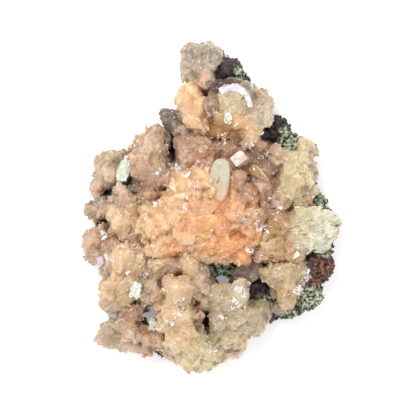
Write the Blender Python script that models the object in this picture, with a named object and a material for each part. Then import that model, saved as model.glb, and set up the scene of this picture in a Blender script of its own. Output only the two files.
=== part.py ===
"""Stellerite with heulandite on basalt, as solids.

Run it in Blender 4.5: blender --background --python part.py
Units are metres and +Z is up. The specimen lies on its flat cut back, so X and Y run across its
face and Z rises out of the rock towards the crystals. The origin is under the middle of the face.

A plate of basalt carries clusters of stellerite. Each cluster is a group of sheaves that grew into
one another: a sheaf is a bundle of thin blades that splay from a root, so it is rounded, with the
blades' edges as ridges. Separate tabular heulandite crystals sit on the clusters and in a hollow.
"""

import math
from collections import namedtuple

import bmesh
import bpy
from mathutils import Matrix, Vector, noise
from mathutils.bvhtree import BVHTree

MM = 0.001

# Driving dimensions, in millimetres
GAP = 0.42                 # clearance left round a piece that its neighbour is cut back from
ROCK_GAP = 0.6             # the same round the rock
WELD = 0.004               # vertices nearer than this are one
ROCK_BELLY = 5.0           # height at which the rock plate is widest
ROCK_CROWN = 13.5          # height of the rock's upper surface near the rim
ROCK_UNDER = 8.0           # depth of the rounded underside below the belly, before it is cut flat
ROCK_DETAIL = 3            # how often the ball that the plate is spread from is subdivided
ROCK_FULLNESS = 0.6        # exponent that fills the plan out: 1 is a ball, towards 0 is a slab
SIDE_FULLNESS = 0.62       # the same for the side view
RIM_ROUGHNESS = 1.1        # unevenness of the plate's rim
CROWN_ROUGHNESS = 0.9      # unevenness of the plate's upper surface
CENTRE_DOME = 4.5          # extra height of the rock under the orange druse
DOME_SPREAD = 16.0         # distance over which that dome falls off
HOLLOW = (16.0, -26.0)     # middle in plan of the hollow that the mauve heulandite sits in
HOLLOW_DEPTH = 5.0
HOLLOW_SPREAD = 5.5
KNOB_ROUGHNESS = 0.22      # irregularity of a knob, as a share of its radius
OPENING_ROUGHNESS = 0.2    # irregularity of an opening's side, as a share of its width
OPENING_DEPTH = 60.0       # long enough for an opening's cutter to pass right through
GROUND_SIZE = 200.0        # wide enough for the block under the specimen to reach past it
ROOT_HEIGHT = 8.5          # height at which a sheaf is rooted, unless its cluster says otherwise
RISE_FOR_WIDTH = 1.35      # how tall a sheaf's rounded head is, for its half width
LEAST_NECK = 2.0           # least distance from a sheaf's root up to its widest part
RIDGE = 0.10               # how far every second meridian of a sheaf is set back between two blades
SHEAF_TILT = 0.10          # most that a sheaf's length slopes up or down
UNEVEN = 0.09              # irregularity of a sheaf's surface, as a share of its radius
DRUSE_SHEAVES = 20         # smaller sheaves that stand on the orange druse
DRUSE_CENTRE = (-3.0, -3.5)
DRUSE_SPREAD = (20.0, 14.5)
DRUSE_SIZE = 3.7           # half length of one of them
DRUSE_SIZE_CHANGE = 0.6    # how much that varies
DRUSE_PROUD = 1.1          # how far its top stands above the mound under it
MOUND_EDGE = 0.12          # how near a mound's rim they stay off, as a share of its plan
GOLDEN_ANGLE = math.radians(137.5)
KEPT_OF_SHEAVES = 0.38     # share of a cluster's faces that is kept at the least
KEPT_OF_ROCK = 0.58        # the same for the rock
SHARE_STEP = 0.03          # by how much the share is raised where the piece isn't sound
SHARE_STEPS = 12

# The rock's outline seen from above, anticlockwise from the right, in millimetres
ROCK_OUTLINE = [
    (42.0, 0.0), (40.0, 7.0), (37.5, 14.0), (35.5, 20.5), (30.5, 25.5), (25.0, 30.0),
    (20.5, 36.5), (15.0, 43.5), (10.5, 51.0), (4.0, 57.5), (-1.0, 57.5), (-3.5, 51.0),
    (-5.5, 42.0), (-9.5, 33.5), (-14.0, 28.5), (-18.0, 26.0), (-23.0, 20.5), (-30.0, 17.5),
    (-36.5, 14.0), (-37.0, 6.5), (-38.5, 0.0), (-39.0, -6.0), (-37.0, -13.0), (-33.0, -19.5),
    (-32.0, -27.0), (-29.0, -36.0), (-26.0, -45.0), (-18.5, -51.5), (-9.0, -54.5), (0.0, -56.5),
    (7.5, -53.0), (12.5, -46.5), (17.0, -40.0), (22.5, -38.5), (30.0, -39.5), (35.5, -37.0),
    (40.0, -30.5), (45.0, -24.0), (45.0, -16.5), (45.0, -8.0),
]

Knob = namedtuple("Knob", "x y z radius_x radius_y radius_z")
# Lumps of bare rock that stand out of the plate, in millimetres
ROCK_KNOBS = [
    Knob(24.5, 29.5, 15.0, 4.4, 3.9, 6.5),
    Knob(21.0, 28.2, 16.0, 3.0, 2.2, 5.5),
    Knob(30.0, 24.2, 14.0, 4.2, 3.4, 6.0),
    Knob(7.5, 50.5, 14.0, 4.6, 5.0, 7.0),
    Knob(11.5, 46.8, 13.5, 3.6, 2.6, 6.0),
    Knob(40.5, -21.5, 14.5, 5.0, 6.0, 6.5),
    Knob(36.5, -31.0, 12.5, 4.6, 5.6, 6.0),
    Knob(29.5, -36.8, 11.5, 5.4, 3.0, 5.5),
    Knob(43.0, -4.5, 12.5, 3.2, 4.2, 6.0),
    Knob(40.5, 2.5, 12.0, 2.4, 2.8, 6.0),
    Knob(18.0, -30.5, 10.5, 4.4, 3.6, 5.0),
    Knob(-38.5, -5.6, 9.0, 3.2, 2.2, 5.5),
    Knob(-17.0, -51.8, 8.5, 2.4, 1.9, 5.0),
]

Gap = namedtuple("Gap", "x y length width turn")
# Openings right through the rock, in millimetres and degrees from +X
ROCK_GAPS = [
    Gap(-21.8, -38.6, 8.6, 5.0, 68.0),
    Gap(5.0, -26.0, 5.2, 3.4, -10.0),
]

Sheaf = namedtuple("Sheaf", "x y top long wide turn")
Cluster = namedtuple("Cluster", "name colour root sheaves")
# Each sheaf: its middle in plan, the height of its top, its half length and half width in plan, in
# millimetres, and the turn of its length from +X in degrees. The blades fan about that length.
# A cluster lower in this list is cut back where it meets one above it.
CLUSTERS = [
    Cluster("bottom_pillar", "D9B37F", ROOT_HEIGHT, [
        Sheaf(-11.6, -28.4, 32.0, 5.2, 3.9, 0), Sheaf(-10.7, -33.6, 33.0, 4.8, 3.8, 95),
        Sheaf(-11.2, -39.4, 35.0, 5.9, 5.2, 10), Sheaf(-9.6, -46.4, 33.0, 5.4, 5.0, 80),
        Sheaf(-4.2, -52.0, 31.0, 7.2, 6.6, 62), Sheaf(-12.2, -51.0, 21.5, 3.8, 3.2, 40),
        Sheaf(-1.4, -54.2, 22.0, 5.0, 4.6, 20),
        Sheaf(-4.8, -38.8, 24.0, 3.4, 3.2, 60), Sheaf(-10.4, -38.0, 24.0, 11.0, 6.2, 92),
        Sheaf(-6.6, -49.6, 23.0, 8.4, 7.4, 60),
    ]),
    Cluster("bottom_right_sheaves", "CDAE82", ROOT_HEIGHT, [
        Sheaf(5.2, -32.6, 32.0, 5.2, 4.8, 35), Sheaf(10.2, -31.2, 30.5, 3.9, 3.6, 60),
        Sheaf(3.6, -41.4, 31.0, 5.2, 3.4, 95), Sheaf(12.6, -41.0, 30.0, 7.2, 4.4, -8),
        Sheaf(8.0, -46.4, 27.0, 5.2, 4.0, 25), Sheaf(2.6, -49.8, 26.0, 4.8, 4.2, 110),
        Sheaf(16.6, -36.8, 18.5, 4.2, 3.0, -40),
        Sheaf(7.6, -37.4, 23.0, 9.0, 7.4, 85), Sheaf(6.8, -46.6, 21.0, 7.4, 6.4, 60),
    ]),
    Cluster("right_fan", "DCCB9C", ROOT_HEIGHT, [
        Sheaf(40.2, -7.4, 27.0, 7.4, 6.2, 60), Sheaf(33.4, -5.2, 29.0, 6.2, 4.8, 48),
        Sheaf(25.6, -8.0, 29.0, 6.6, 5.4, 40), Sheaf(21.4, -11.8, 28.0, 4.2, 3.6, 120),
        Sheaf(27.4, -15.4, 27.0, 5.8, 4.0, 8), Sheaf(33.4, -12.6, 27.0, 4.0, 3.2, 70),
        Sheaf(24.6, -1.9, 25.5, 4.8, 2.6, 5),
        Sheaf(34.0, -9.0, 22.5, 11.5, 7.0, 5), Sheaf(25.2, -10.6, 22.0, 7.8, 6.8, 60),
        Sheaf(31.6, -16.2, 24.2, 3.6, 3.0, 30),
        Sheaf(19.4, -15.4, 25.5, 4.2, 3.2, 25),
    ]),
    Cluster("lower_right_fan", "CFAA78", ROOT_HEIGHT, [
        Sheaf(27.7, -23.2, 28.0, 7.4, 4.4, 8), Sheaf(28.9, -28.4, 26.0, 5.6, 4.0, 98),
        Sheaf(29.4, -32.6, 22.0, 3.0, 2.6, 90), Sheaf(34.9, -24.1, 19.6, 5.2, 2.2, 62),
        Sheaf(32.2, -30.3, 18.6, 4.4, 2.1, 66),
        Sheaf(29.7, -26.9, 20.6, 8.6, 6.3, 95),
    ]),
    Cluster("right_shoulder_sheaves", "D2B586", ROOT_HEIGHT, [
        Sheaf(31.4, 12.6, 30.0, 7.4, 5.8, 72), Sheaf(29.2, 6.0, 28.5, 4.8, 3.8, 40),
        Sheaf(25.4, 18.9, 26.0, 4.0, 3.4, 150), Sheaf(34.9, 21.6, 20.5, 3.6, 3.0, 60),
        Sheaf(36.5, 12.6, 22.0, 4.4, 2.5, 85), Sheaf(35.0, 6.4, 23.0, 2.9, 2.4, 20),
        Sheaf(26.0, 2.9, 26.5, 4.6, 2.9, 15), Sheaf(32.8, 2.1, 22.5, 4.6, 2.5, -18),
        Sheaf(31.0, 8.4, 22.0, 10.5, 6.8, 82), Sheaf(31.0, 18.0, 20.0, 6.6, 6.2, 40),
        Sheaf(25.4, 11.4, 25.0, 4.0, 3.4, 95),
    ]),
    Cluster("orange_druse", "EFA768", ROOT_HEIGHT, [
        Sheaf(0.0, -3.5, 36.0, 9.0, 8.0, 20), Sheaf(-8.0, 7.3, 33.0, 7.4, 6.2, 35),
        Sheaf(-14.0, -5.0, 32.0, 7.0, 6.4, 60), Sheaf(-21.0, -8.8, 30.0, 7.6, 4.4, 96),
        Sheaf(9.6, -2.0, 34.0, 6.8, 6.2, 110), Sheaf(5.6, -12.4, 32.0, 7.4, 5.8, -15),
        Sheaf(13.5, 6.4, 30.0, 5.0, 4.6, 40), Sheaf(-5.0, -10.2, 31.5, 6.8, 5.2, -20),
        Sheaf(14.6, -10.6, 29.5, 4.8, 4.4, 75), Sheaf(-0.8, 9.4, 34.0, 5.0, 4.8, 0),
        Sheaf(12.0, -16.2, 28.0, 3.2, 2.7, 120), Sheaf(7.0, -17.2, 27.5, 3.0, 2.4, 60),
        Sheaf(-7.4, 1.0, 32.5, 6.0, 5.0, 10), Sheaf(6.0, 4.6, 31.5, 5.4, 4.4, -30),
        Sheaf(4.4, 11.0, 30.5, 5.0, 4.6, 97), Sheaf(9.6, 10.2, 30.0, 4.8, 4.2, 40),
        Sheaf(-13.2, 1.6, 29.5, 6.4, 5.0, 60), Sheaf(-10.6, -13.6, 26.5, 5.6, 3.8, 20),
        Sheaf(16.8, -4.8, 28.0, 4.8, 4.0, 60), Sheaf(-23.0, 0.2, 25.5, 4.2, 3.6, 100),
        Sheaf(-18.2, -14.8, 26.5, 4.6, 3.8, 20), Sheaf(-2.0, -15.8, 26.5, 5.2, 3.4, 8),
    ]),
    Cluster("upper_right_sheaves", "CBB083", ROOT_HEIGHT, [
        Sheaf(9.6, 38.2, 33.0, 5.9, 5.0, 18), Sheaf(10.2, 32.8, 31.5, 3.8, 3.2, 50),
        Sheaf(5.6, 33.2, 31.0, 4.0, 3.4, 100), Sheaf(17.8, 33.8, 29.0, 4.6, 4.0, 60),
        Sheaf(19.4, 38.3, 23.5, 3.6, 3.2, 125), Sheaf(14.8, 27.6, 30.0, 4.6, 3.2, 82),
        Sheaf(6.0, 28.0, 27.0, 5.8, 3.4, 0), Sheaf(17.8, 23.2, 25.0, 4.8, 3.4, 8),
        Sheaf(5.6, 44.2, 25.0, 3.4, 2.0, 15), Sheaf(11.0, 44.2, 26.0, 3.4, 2.0, -18),
        Sheaf(14.8, 41.0, 26.0, 3.4, 2.0, -58),
        Sheaf(11.0, 35.6, 23.5, 10.5, 8.4, 50), Sheaf(1.8, 37.2, 25.5, 4.4, 3.6, 100),
        Sheaf(13.4, 27.4, 21.5, 8.0, 6.4, 60), Sheaf(3.0, 31.0, 23.0, 4.6, 3.8, 60),
    ]),
    Cluster("orange_wedge", "F0AC6C", ROOT_HEIGHT, [
        Sheaf(-7.0, 40.2, 26.0, 5.9, 3.3, 68), Sheaf(-4.9, 32.0, 28.0, 7.3, 3.2, -43),
        Sheaf(-3.1, 38.0, 27.0, 5.8, 2.5, 102),
        Sheaf(-4.6, 35.6, 21.0, 8.4, 4.8, 105),
    ]),
    Cluster("summit_sheaves", "C0AE92", ROOT_HEIGHT, [
        Sheaf(-5.6, 53.6, 24.5, 6.0, 3.3, 95), Sheaf(0.4, 55.0, 24.0, 4.9, 4.6, 60),
        Sheaf(2.2, 54.3, 20.5, 4.6, 3.4, 115), Sheaf(-5.7, 47.6, 21.0, 3.4, 2.5, 82),
        Sheaf(-1.2, 47.0, 25.0, 5.2, 2.8, 95),
        Sheaf(-1.4, 51.4, 19.5, 8.4, 5.4, 95),
    ]),
    Cluster("upper_left_sheaves", "C6A77F", ROOT_HEIGHT, [
        Sheaf(-20.3, 22.0, 29.0, 7.2, 5.6, 55), Sheaf(-24.2, 16.4, 29.0, 5.2, 4.4, 60),
        Sheaf(-19.4, 14.3, 27.5, 4.4, 3.8, 20), Sheaf(-18.3, 27.4, 22.5, 3.4, 2.7, -20),
        Sheaf(-25.8, 20.6, 19.5, 4.0, 2.6, 50), Sheaf(-21.4, 7.0, 25.5, 4.6, 3.9, 20),
        Sheaf(-22.8, 10.8, 25.0, 3.8, 2.8, 0), Sheaf(-27.0, 7.6, 21.0, 3.2, 2.4, 30),
        Sheaf(-16.0, 10.8, 26.0, 3.8, 3.2, 60),
        Sheaf(-21.4, 16.8, 22.5, 11.5, 7.4, 68), Sheaf(-22.6, 9.0, 20.5, 7.4, 5.8, 20),
    ]),
    Cluster("upper_middle_sheaves", "B8936F", ROOT_HEIGHT, [
        Sheaf(-8.2, 20.4, 28.5, 5.0, 4.2, 60), Sheaf(-3.0, 23.0, 29.0, 4.8, 3.6, -15),
        Sheaf(-9.2, 15.4, 27.0, 3.8, 3.0, 20), Sheaf(-8.8, 27.0, 24.5, 3.6, 2.6, 100),
        Sheaf(-13.4, 32.0, 22.0, 3.8, 3.0, 110), Sheaf(-11.2, 28.6, 20.0, 3.0, 2.4, 140),
        Sheaf(3.4, 21.6, 28.0, 4.6, 3.6, 20), Sheaf(9.2, 22.0, 28.0, 4.4, 3.2, -12),
        Sheaf(-5.4, 21.0, 22.5, 7.4, 5.8, 20), Sheaf(6.4, 21.2, 22.5, 7.4, 4.8, 0),
        Sheaf(-7.6, 14.8, 24.0, 4.6, 3.8, 20),
        Sheaf(-12.0, 11.8, 24.5, 3.8, 3.0, 25), Sheaf(0.6, 16.6, 27.0, 4.6, 3.6, 70),
    ]),
    Cluster("smoky_sheaves", "A5846A", ROOT_HEIGHT, [
        Sheaf(14.4, 16.4, 26.5, 4.2, 3.8, 60), Sheaf(19.8, 14.2, 26.5, 4.6, 4.2, 110),
        Sheaf(19.2, 7.8, 27.5, 4.8, 4.4, 50), Sheaf(20.4, 1.6, 25.5, 3.8, 2.8, 80),
        Sheaf(18.2, 10.0, 21.5, 9.4, 6.2, 105), Sheaf(11.8, 17.6, 28.0, 4.0, 3.6, 0),
        Sheaf(8.4, 15.4, 27.5, 4.2, 3.4, 100),
    ]),
    Cluster("far_left_sheaves", "C0A280", 5.0, [
        Sheaf(-37.2, 13.3, 21.0, 4.8, 4.1, 60), Sheaf(-35.4, 17.8, 19.0, 3.4, 2.7, 160),
        Sheaf(-39.7, 8.9, 18.0, 3.6, 2.9, 32),
        Sheaf(-31.8, 14.8, 20.5, 5.0, 3.6, 66), Sheaf(-37.0, 12.6, 15.5, 6.6, 5.2, 60),
        Sheaf(-33.4, 9.8, 17.5, 3.8, 3.2, 20),
    ]),
    Cluster("left_ball_sheaves", "D3AE7E", 6.0, [
        Sheaf(-31.6, 3.9, 26.0, 4.2, 3.6, 70), Sheaf(-27.2, 1.3, 26.0, 2.8, 2.6, 45),
        Sheaf(-31.2, -4.4, 28.0, 5.6, 4.9, 140), Sheaf(-26.8, -5.0, 25.5, 3.6, 3.2, 20),
        Sheaf(-29.4, -9.4, 25.0, 3.6, 2.8, 10), Sheaf(-39.6, 2.3, 16.5, 5.2, 2.2, 32),
        Sheaf(-39.0, -0.9, 18.0, 5.0, 2.6, -5),
        Sheaf(-30.6, -1.4, 20.5, 9.4, 6.6, 96), Sheaf(-35.8, 1.4, 15.5, 7.4, 4.2, 8),
    ]),
    Cluster("lower_left_sheaves", "D2AD7F", 6.0, [
        Sheaf(-29.2, -17.8, 29.0, 7.0, 5.8, 0), Sheaf(-31.5, -27.2, 28.0, 6.8, 4.9, 18),
        Sheaf(-34.4, -13.0, 23.5, 3.4, 2.8, 50), Sheaf(-36.0, -28.4, 21.5, 3.2, 2.8, 80),
        Sheaf(-30.8, -31.8, 23.5, 3.4, 2.6, 20), Sheaf(-36.4, -22.6, 19.0, 3.2, 2.8, 90),
        Sheaf(-24.0, -21.8, 24.5, 3.4, 2.8, 100), Sheaf(-34.2, -33.2, 19.5, 3.4, 2.8, 30),
        Sheaf(-30.2, -22.8, 21.0, 12.0, 7.4, 92), Sheaf(-26.8, -28.2, 24.6, 4.2, 3.6, 82),
    ]),
    Cluster("left_edge_sheaves", "C3A483", 5.0, [
        Sheaf(-42.2, -12.0, 19.0, 4.6, 3.6, 80), Sheaf(-38.6, -10.8, 18.5, 3.4, 2.6, 80),
        Sheaf(-41.2, -15.8, 17.5, 3.4, 2.8, 130),
        Sheaf(-37.6, -17.3, 17.2, 4.0, 3.2, 15), Sheaf(-40.6, -13.2, 13.2, 6.0, 4.6, 100),
    ]),
    Cluster("middle_lower_sheaves", "CDA67B", ROOT_HEIGHT, [
        Sheaf(-18.4, -20.2, 27.0, 4.9, 4.2, 30), Sheaf(-13.2, -20.6, 26.0, 3.8, 3.6, 0),
        Sheaf(-7.8, -20.2, 28.0, 4.8, 4.0, 20), Sheaf(-20.6, -29.4, 28.0, 5.2, 4.3, 82),
        Sheaf(-18.6, -35.8, 24.0, 3.6, 2.5, 95), Sheaf(-2.0, -29.4, 28.0, 5.8, 4.2, 105),
        Sheaf(-3.6, -23.2, 25.0, 3.8, 2.8, 70), Sheaf(-19.6, -24.8, 24.0, 3.2, 3.0, 90),
        Sheaf(-13.4, -20.6, 21.0, 10.5, 5.6, 2), Sheaf(-20.4, -29.8, 21.0, 9.4, 5.6, 84),
        Sheaf(-3.2, -28.8, 20.5, 9.0, 5.6, 98),
    ]),
    Cluster("bottom_left_sheaves", "B8936C", 5.5, [
        Sheaf(-29.2, -46.0, 22.0, 4.8, 4.3, 80), Sheaf(-34.9, -45.4, 19.0, 4.4, 3.9, 95),
        Sheaf(-22.4, -48.0, 21.0, 4.9, 4.4, 60), Sheaf(-18.0, -47.6, 20.5, 4.2, 3.5, 70),
        Sheaf(-28.2, -38.6, 20.0, 5.4, 3.6, 40), Sheaf(-31.6, -40.8, 18.0, 3.4, 3.0, 90),
        Sheaf(-27.4, -46.6, 16.0, 12.0, 5.6, -4), Sheaf(-20.4, -43.4, 18.0, 3.6, 2.8, 80),
        Sheaf(-33.8, -38.4, 14.8, 4.4, 3.2, -60),
    ]),
]

Crystal = namedtuple("Crystal", "name colour x y z length width thick turn pitch roll")
# Each heulandite crystal: its middle, its length, width and thickness in millimetres, and its turn
# from +X, its pitch up from level and its roll about its length, in degrees.
CRYSTALS = [
    Crystal("centre_heulandite_blade", "CDBFA4", 4.2, 12.2, 32.6, 15.0, 6.6, 4.2, 97, 20, -14),
    Crystal("white_heulandite_block", "F0E0D2", 11.4, 18.2, 29.2, 6.4, 5.2, 5.0, 38, 8, -14),
    Crystal("amber_heulandite", "CC9750", 18.6, 12.8, 27.2, 8.6, 4.4, 3.6, -37, -8, 12),
    Crystal("pearly_heulandite_plate", "DDE3CE", -30.5, 15.0, 21.2, 10.8, 4.8, 3.6, 66, -8, 12),
    Crystal("brown_heulandite_wedge", "AD8E6A", 1.4, 37.3, 25.8, 7.8, 5.8, 4.6, 104, -6, -12),
    Crystal("mauve_heulandite", "8F7466", 14.6, -22.6, 15.5, 12.0, 8.6, 5.4, 30, 6, 10),
    Crystal("smoky_lower_heulandite", "A39382", 26.6, -36.6, 15.5, 7.0, 4.4, 3.6, -10, 5, 18),
    Crystal("grey_heulandite_blade", "A8A093", -36.0, -37.4, 14.8, 7.2, 3.2, 3.2, -60, 4, -15),
    Crystal("milky_heulandite_block", "E9EFE2", -26.9, -29.2, 24.8, 6.4, 4.2, 4.0, 82, 6, 10),
    Crystal("milky_heulandite_sliver", "E6EADC", -20.6, -42.2, 17.8, 4.6, 2.2, 3.0, 74, 4, 0),
    Crystal("diamond_heulandite", "F1EDF2", -36.2, -17.6, 17.6, 4.8, 3.8, 2.8, 112, 0, -12),
    Crystal("lilac_heulandite", "E0CDD8", -39.4, -18.9, 15.2, 3.8, 3.0, 2.6, 100, 0, -20),
    Crystal("bright_heulandite_chip", "EEF0DA", 31.5, -16.6, 24.6, 4.0, 2.6, 2.8, 30, 5, 8),
    Crystal("greenish_heulandite", "DCE0BC", 6.9, 33.3, 31.0, 4.8, 2.8, 2.8, 78, -8, 6),
    Crystal("rose_heulandite_block", "C39A7B", -3.4, -38.9, 23.8, 4.4, 3.6, 4.0, 42, 0, 10),
]
CHAMFER = 0.45             # width of the bevelled edge round a heulandite tablet
COFFIN = [                 # half of a tablet's outline: position along its length, share of its width
    (-1.0, 0.45), (-0.45, 0.92), (0.25, 1.0), (1.0, 0.36),
]


def linear(hex_code):
    """A hex sRGB colour as linear RGBA."""
    parts = [int(hex_code[i:i + 2], 16) / 255 for i in (0, 2, 4)]
    return [p / 12.92 if p <= 0.04045 else ((p + 0.055) / 1.055) ** 2.4 for p in parts] + [1.0]


def mineral(name, hex_code, roughness):
    """A plain Principled material."""
    material = bpy.data.materials.new(name)
    material.use_nodes = True
    shader = material.node_tree.nodes["Principled BSDF"]
    shader.inputs["Base Color"].default_value = linear(hex_code)
    shader.inputs["Roughness"].default_value = roughness
    shader.inputs["Metallic"].default_value = 0.0
    material.diffuse_color = linear(hex_code)
    return material


def new_object(name, mesh, collection):
    """An object for the mesh, in a collection."""
    obj = bpy.data.objects.new(name, mesh)
    collection.objects.link(obj)
    return obj


def helper(name, mesh):
    """A cutter, or a piece that is joined to another. It goes in its Boolean's own collection."""
    obj = bpy.data.objects.new(name, mesh)
    obj.hide_render = True
    obj.display_type = "WIRE"
    return obj


def mesh_from(bm, name):
    """The bmesh as a mesh with flat faces."""
    bm.normal_update()
    bmesh.ops.recalc_face_normals(bm, faces=bm.faces)
    mesh = bpy.data.meshes.new(name)
    bm.to_mesh(mesh)
    bm.free()
    return mesh


# The rock

def outline_radius(angle):
    """The rock outline's distance from the middle at a polar angle, smoothed between its points."""
    turns = [(math.atan2(y, x) % math.tau, math.hypot(x, y)) for x, y in ROCK_OUTLINE]
    turns.sort()
    turns = [(turns[-1][0] - math.tau, turns[-1][1])] + turns + [(turns[0][0] + math.tau, turns[0][1])]
    angle %= math.tau
    for (before, near), (after, far) in zip(turns, turns[1:]):
        if before <= angle <= after:
            share = (angle - before) / (after - before)
            return near + (far - near) * (share * share * (3 - 2 * share))
    return turns[0][1]


def rock_top(x, y):
    """Height of the rock's upper surface: a dome in the middle and a hollow at the lower right."""
    from_hollow = math.hypot(x - HOLLOW[0], y - HOLLOW[1])
    dome = CENTRE_DOME * math.exp(-0.5 * (math.hypot(x, y) / DOME_SPREAD) ** 2)
    hollow = HOLLOW_DEPTH * math.exp(-0.5 * (from_hollow / HOLLOW_SPREAD) ** 2)
    return ROCK_CROWN + dome - hollow


def rough(direction, scale, seed):
    """Fractal unevenness for a direction, about -1 to 1. The seed picks a different pattern."""
    roughness, lacunarity, octaves = 0.9, 2.1, 4
    return noise.fractal(direction * scale + Vector((seed, 3.1, 7.7)), roughness, lacunarity, octaves)


def rock_plate():
    """The plate: a ball spread out to the outline, flattened and roughened."""
    bm = bmesh.new()
    bmesh.ops.create_icosphere(bm, subdivisions=ROCK_DETAIL, radius=1.0)
    for vert in bm.verts:
        way = vert.co.copy()
        angle = math.atan2(way.y, way.x)
        spread = math.hypot(way.x, way.y) ** ROCK_FULLNESS
        reach = (outline_radius(angle) + RIM_ROUGHNESS * rough(way, 5.0, 1.0)) * spread
        x, y = reach * math.cos(angle), reach * math.sin(angle)
        bulge = abs(way.z) ** SIDE_FULLNESS
        if way.z >= 0:
            crown = rock_top(x, y) + CROWN_ROUGHNESS * rough(way, 6.0, 5.0)
            z = ROCK_BELLY + (crown - ROCK_BELLY) * bulge
        else:
            z = ROCK_BELLY - ROCK_UNDER * bulge
        vert.co = Vector((x, y, z)) * MM
    return mesh_from(bm, "rock_plate")


def rock_knob(knob, number):
    """A craggy lump of rock."""
    bm = bmesh.new()
    bmesh.ops.create_icosphere(bm, subdivisions=2, radius=1.0)
    for vert in bm.verts:
        size = 1.0 + KNOB_ROUGHNESS * rough(vert.co, 1.8, 11.0 + number)
        vert.co = Vector((
            knob.x + vert.co.x * knob.radius_x * size,
            knob.y + vert.co.y * knob.radius_y * size,
            knob.z + vert.co.z * knob.radius_z * size,
        )) * MM
    return mesh_from(bm, "rock_knob")


def rock_gap(gap, number):
    """A ragged post that cuts an opening right through the plate."""
    bm = bmesh.new()
    bmesh.ops.create_cone(
        bm, cap_ends=True, segments=9, radius1=0.5, radius2=0.5, depth=OPENING_DEPTH * MM
    )
    turn = Matrix.Rotation(math.radians(gap.turn), 3, "Z")
    for vert in bm.verts:
        size = 1.0 + OPENING_ROUGHNESS * rough(vert.co, 3.0, 40.0 + number)
        flat = turn @ Vector((vert.co.x * gap.length * size, vert.co.y * gap.width * size, 0))
        vert.co = Vector((gap.x * MM + flat.x * MM, gap.y * MM + flat.y * MM, vert.co.z))
    return mesh_from(bm, "rock_gap")


def ground_block():
    """Everything below the height that the rock is cut flat at."""
    bm = bmesh.new()
    bmesh.ops.create_cube(bm, size=GROUND_SIZE * MM)
    bmesh.ops.translate(bm, verts=bm.verts, vec=(0, 0, -GROUND_SIZE / 2 * MM))
    return mesh_from(bm, "ground")


# The crystals

def head_rise(sheaf, root):
    """Height of a sheaf's rounded head above its widest part."""
    return min(RISE_FOR_WIDTH * max(sheaf.long, sheaf.wide), sheaf.top - root - LEAST_NECK)


def sheaf_mesh(sheaf, root):
    """A sheaf: a ball with its poles level, whose meridians are the edges of the splayed blades.

    Its upper half is a rounded head and its lower half is drawn down to the root."""
    size = max(sheaf.long, sheaf.wide)
    plates = 12 if size > 6.0 else 10 if size > 4.5 else 8
    rise = head_rise(sheaf, root)
    middle = sheaf.top - rise
    bm = bmesh.new()
    bmesh.ops.create_uvsphere(bm, u_segments=plates, v_segments=4, radius=1.0)
    turn = math.radians(sheaf.turn)
    along = Vector((math.cos(turn), math.sin(turn), SHEAF_TILT * math.sin(sheaf.x + sheaf.y)))
    across = Vector((-math.sin(turn), math.cos(turn), 0.0))
    for vert in bm.verts:
        up, side, pole = vert.co
        plate = round(math.atan2(side, up) / math.tau * plates) % plates
        between = RIDGE * (plate % 2) * (1 - pole * pole)
        uneven = UNEVEN * noise.noise(vert.co * 1.7 + Vector((sheaf.x, sheaf.y, 0.0)))
        swell = 1.0 - between + uneven
        height = rise if up > 0 else middle - root
        vert.co = (
            Vector((sheaf.x, sheaf.y, middle))
            + along * pole * sheaf.long * swell
            + across * side * sheaf.wide * swell
            + Vector((0, 0, 1)) * up * height * swell
        ) * MM
    return mesh_from(bm, "sheaf")


def druse_sheaves(cluster):
    """The druse's smaller sheaves, on a sunflower spiral. Each stands a little proud of its mounds."""
    for i in range(DRUSE_SHEAVES):
        angle = i * GOLDEN_ANGLE
        reach = math.sqrt((i + 0.5) / DRUSE_SHEAVES)
        x = DRUSE_CENTRE[0] + DRUSE_SPREAD[0] * reach * math.cos(angle)
        y = DRUSE_CENTRE[1] + DRUSE_SPREAD[1] * reach * math.sin(angle)
        height = max(mound_height(sheaf, cluster.root, x, y) for sheaf in cluster.sheaves)
        if height > 0:
            size = DRUSE_SIZE + DRUSE_SIZE_CHANGE * math.sin(i * 2.3)
            yield Sheaf(x, y, height + DRUSE_PROUD, size, size * 0.85, 40 * i)


def mound_height(sheaf, root, x, y):
    """Height of a sheaf's rounded head at a place in plan, or 0 beside it."""
    turn = math.radians(sheaf.turn)
    dx, dy = x - sheaf.x, y - sheaf.y
    along = (dx * math.cos(turn) + dy * math.sin(turn)) / sheaf.long
    across = (-dx * math.sin(turn) + dy * math.cos(turn)) / sheaf.wide
    inside = 1.0 - along * along - across * across
    if inside <= MOUND_EDGE:
        return 0.0
    return sheaf.top - head_rise(sheaf, root) * (1.0 - math.sqrt(inside))


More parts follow.
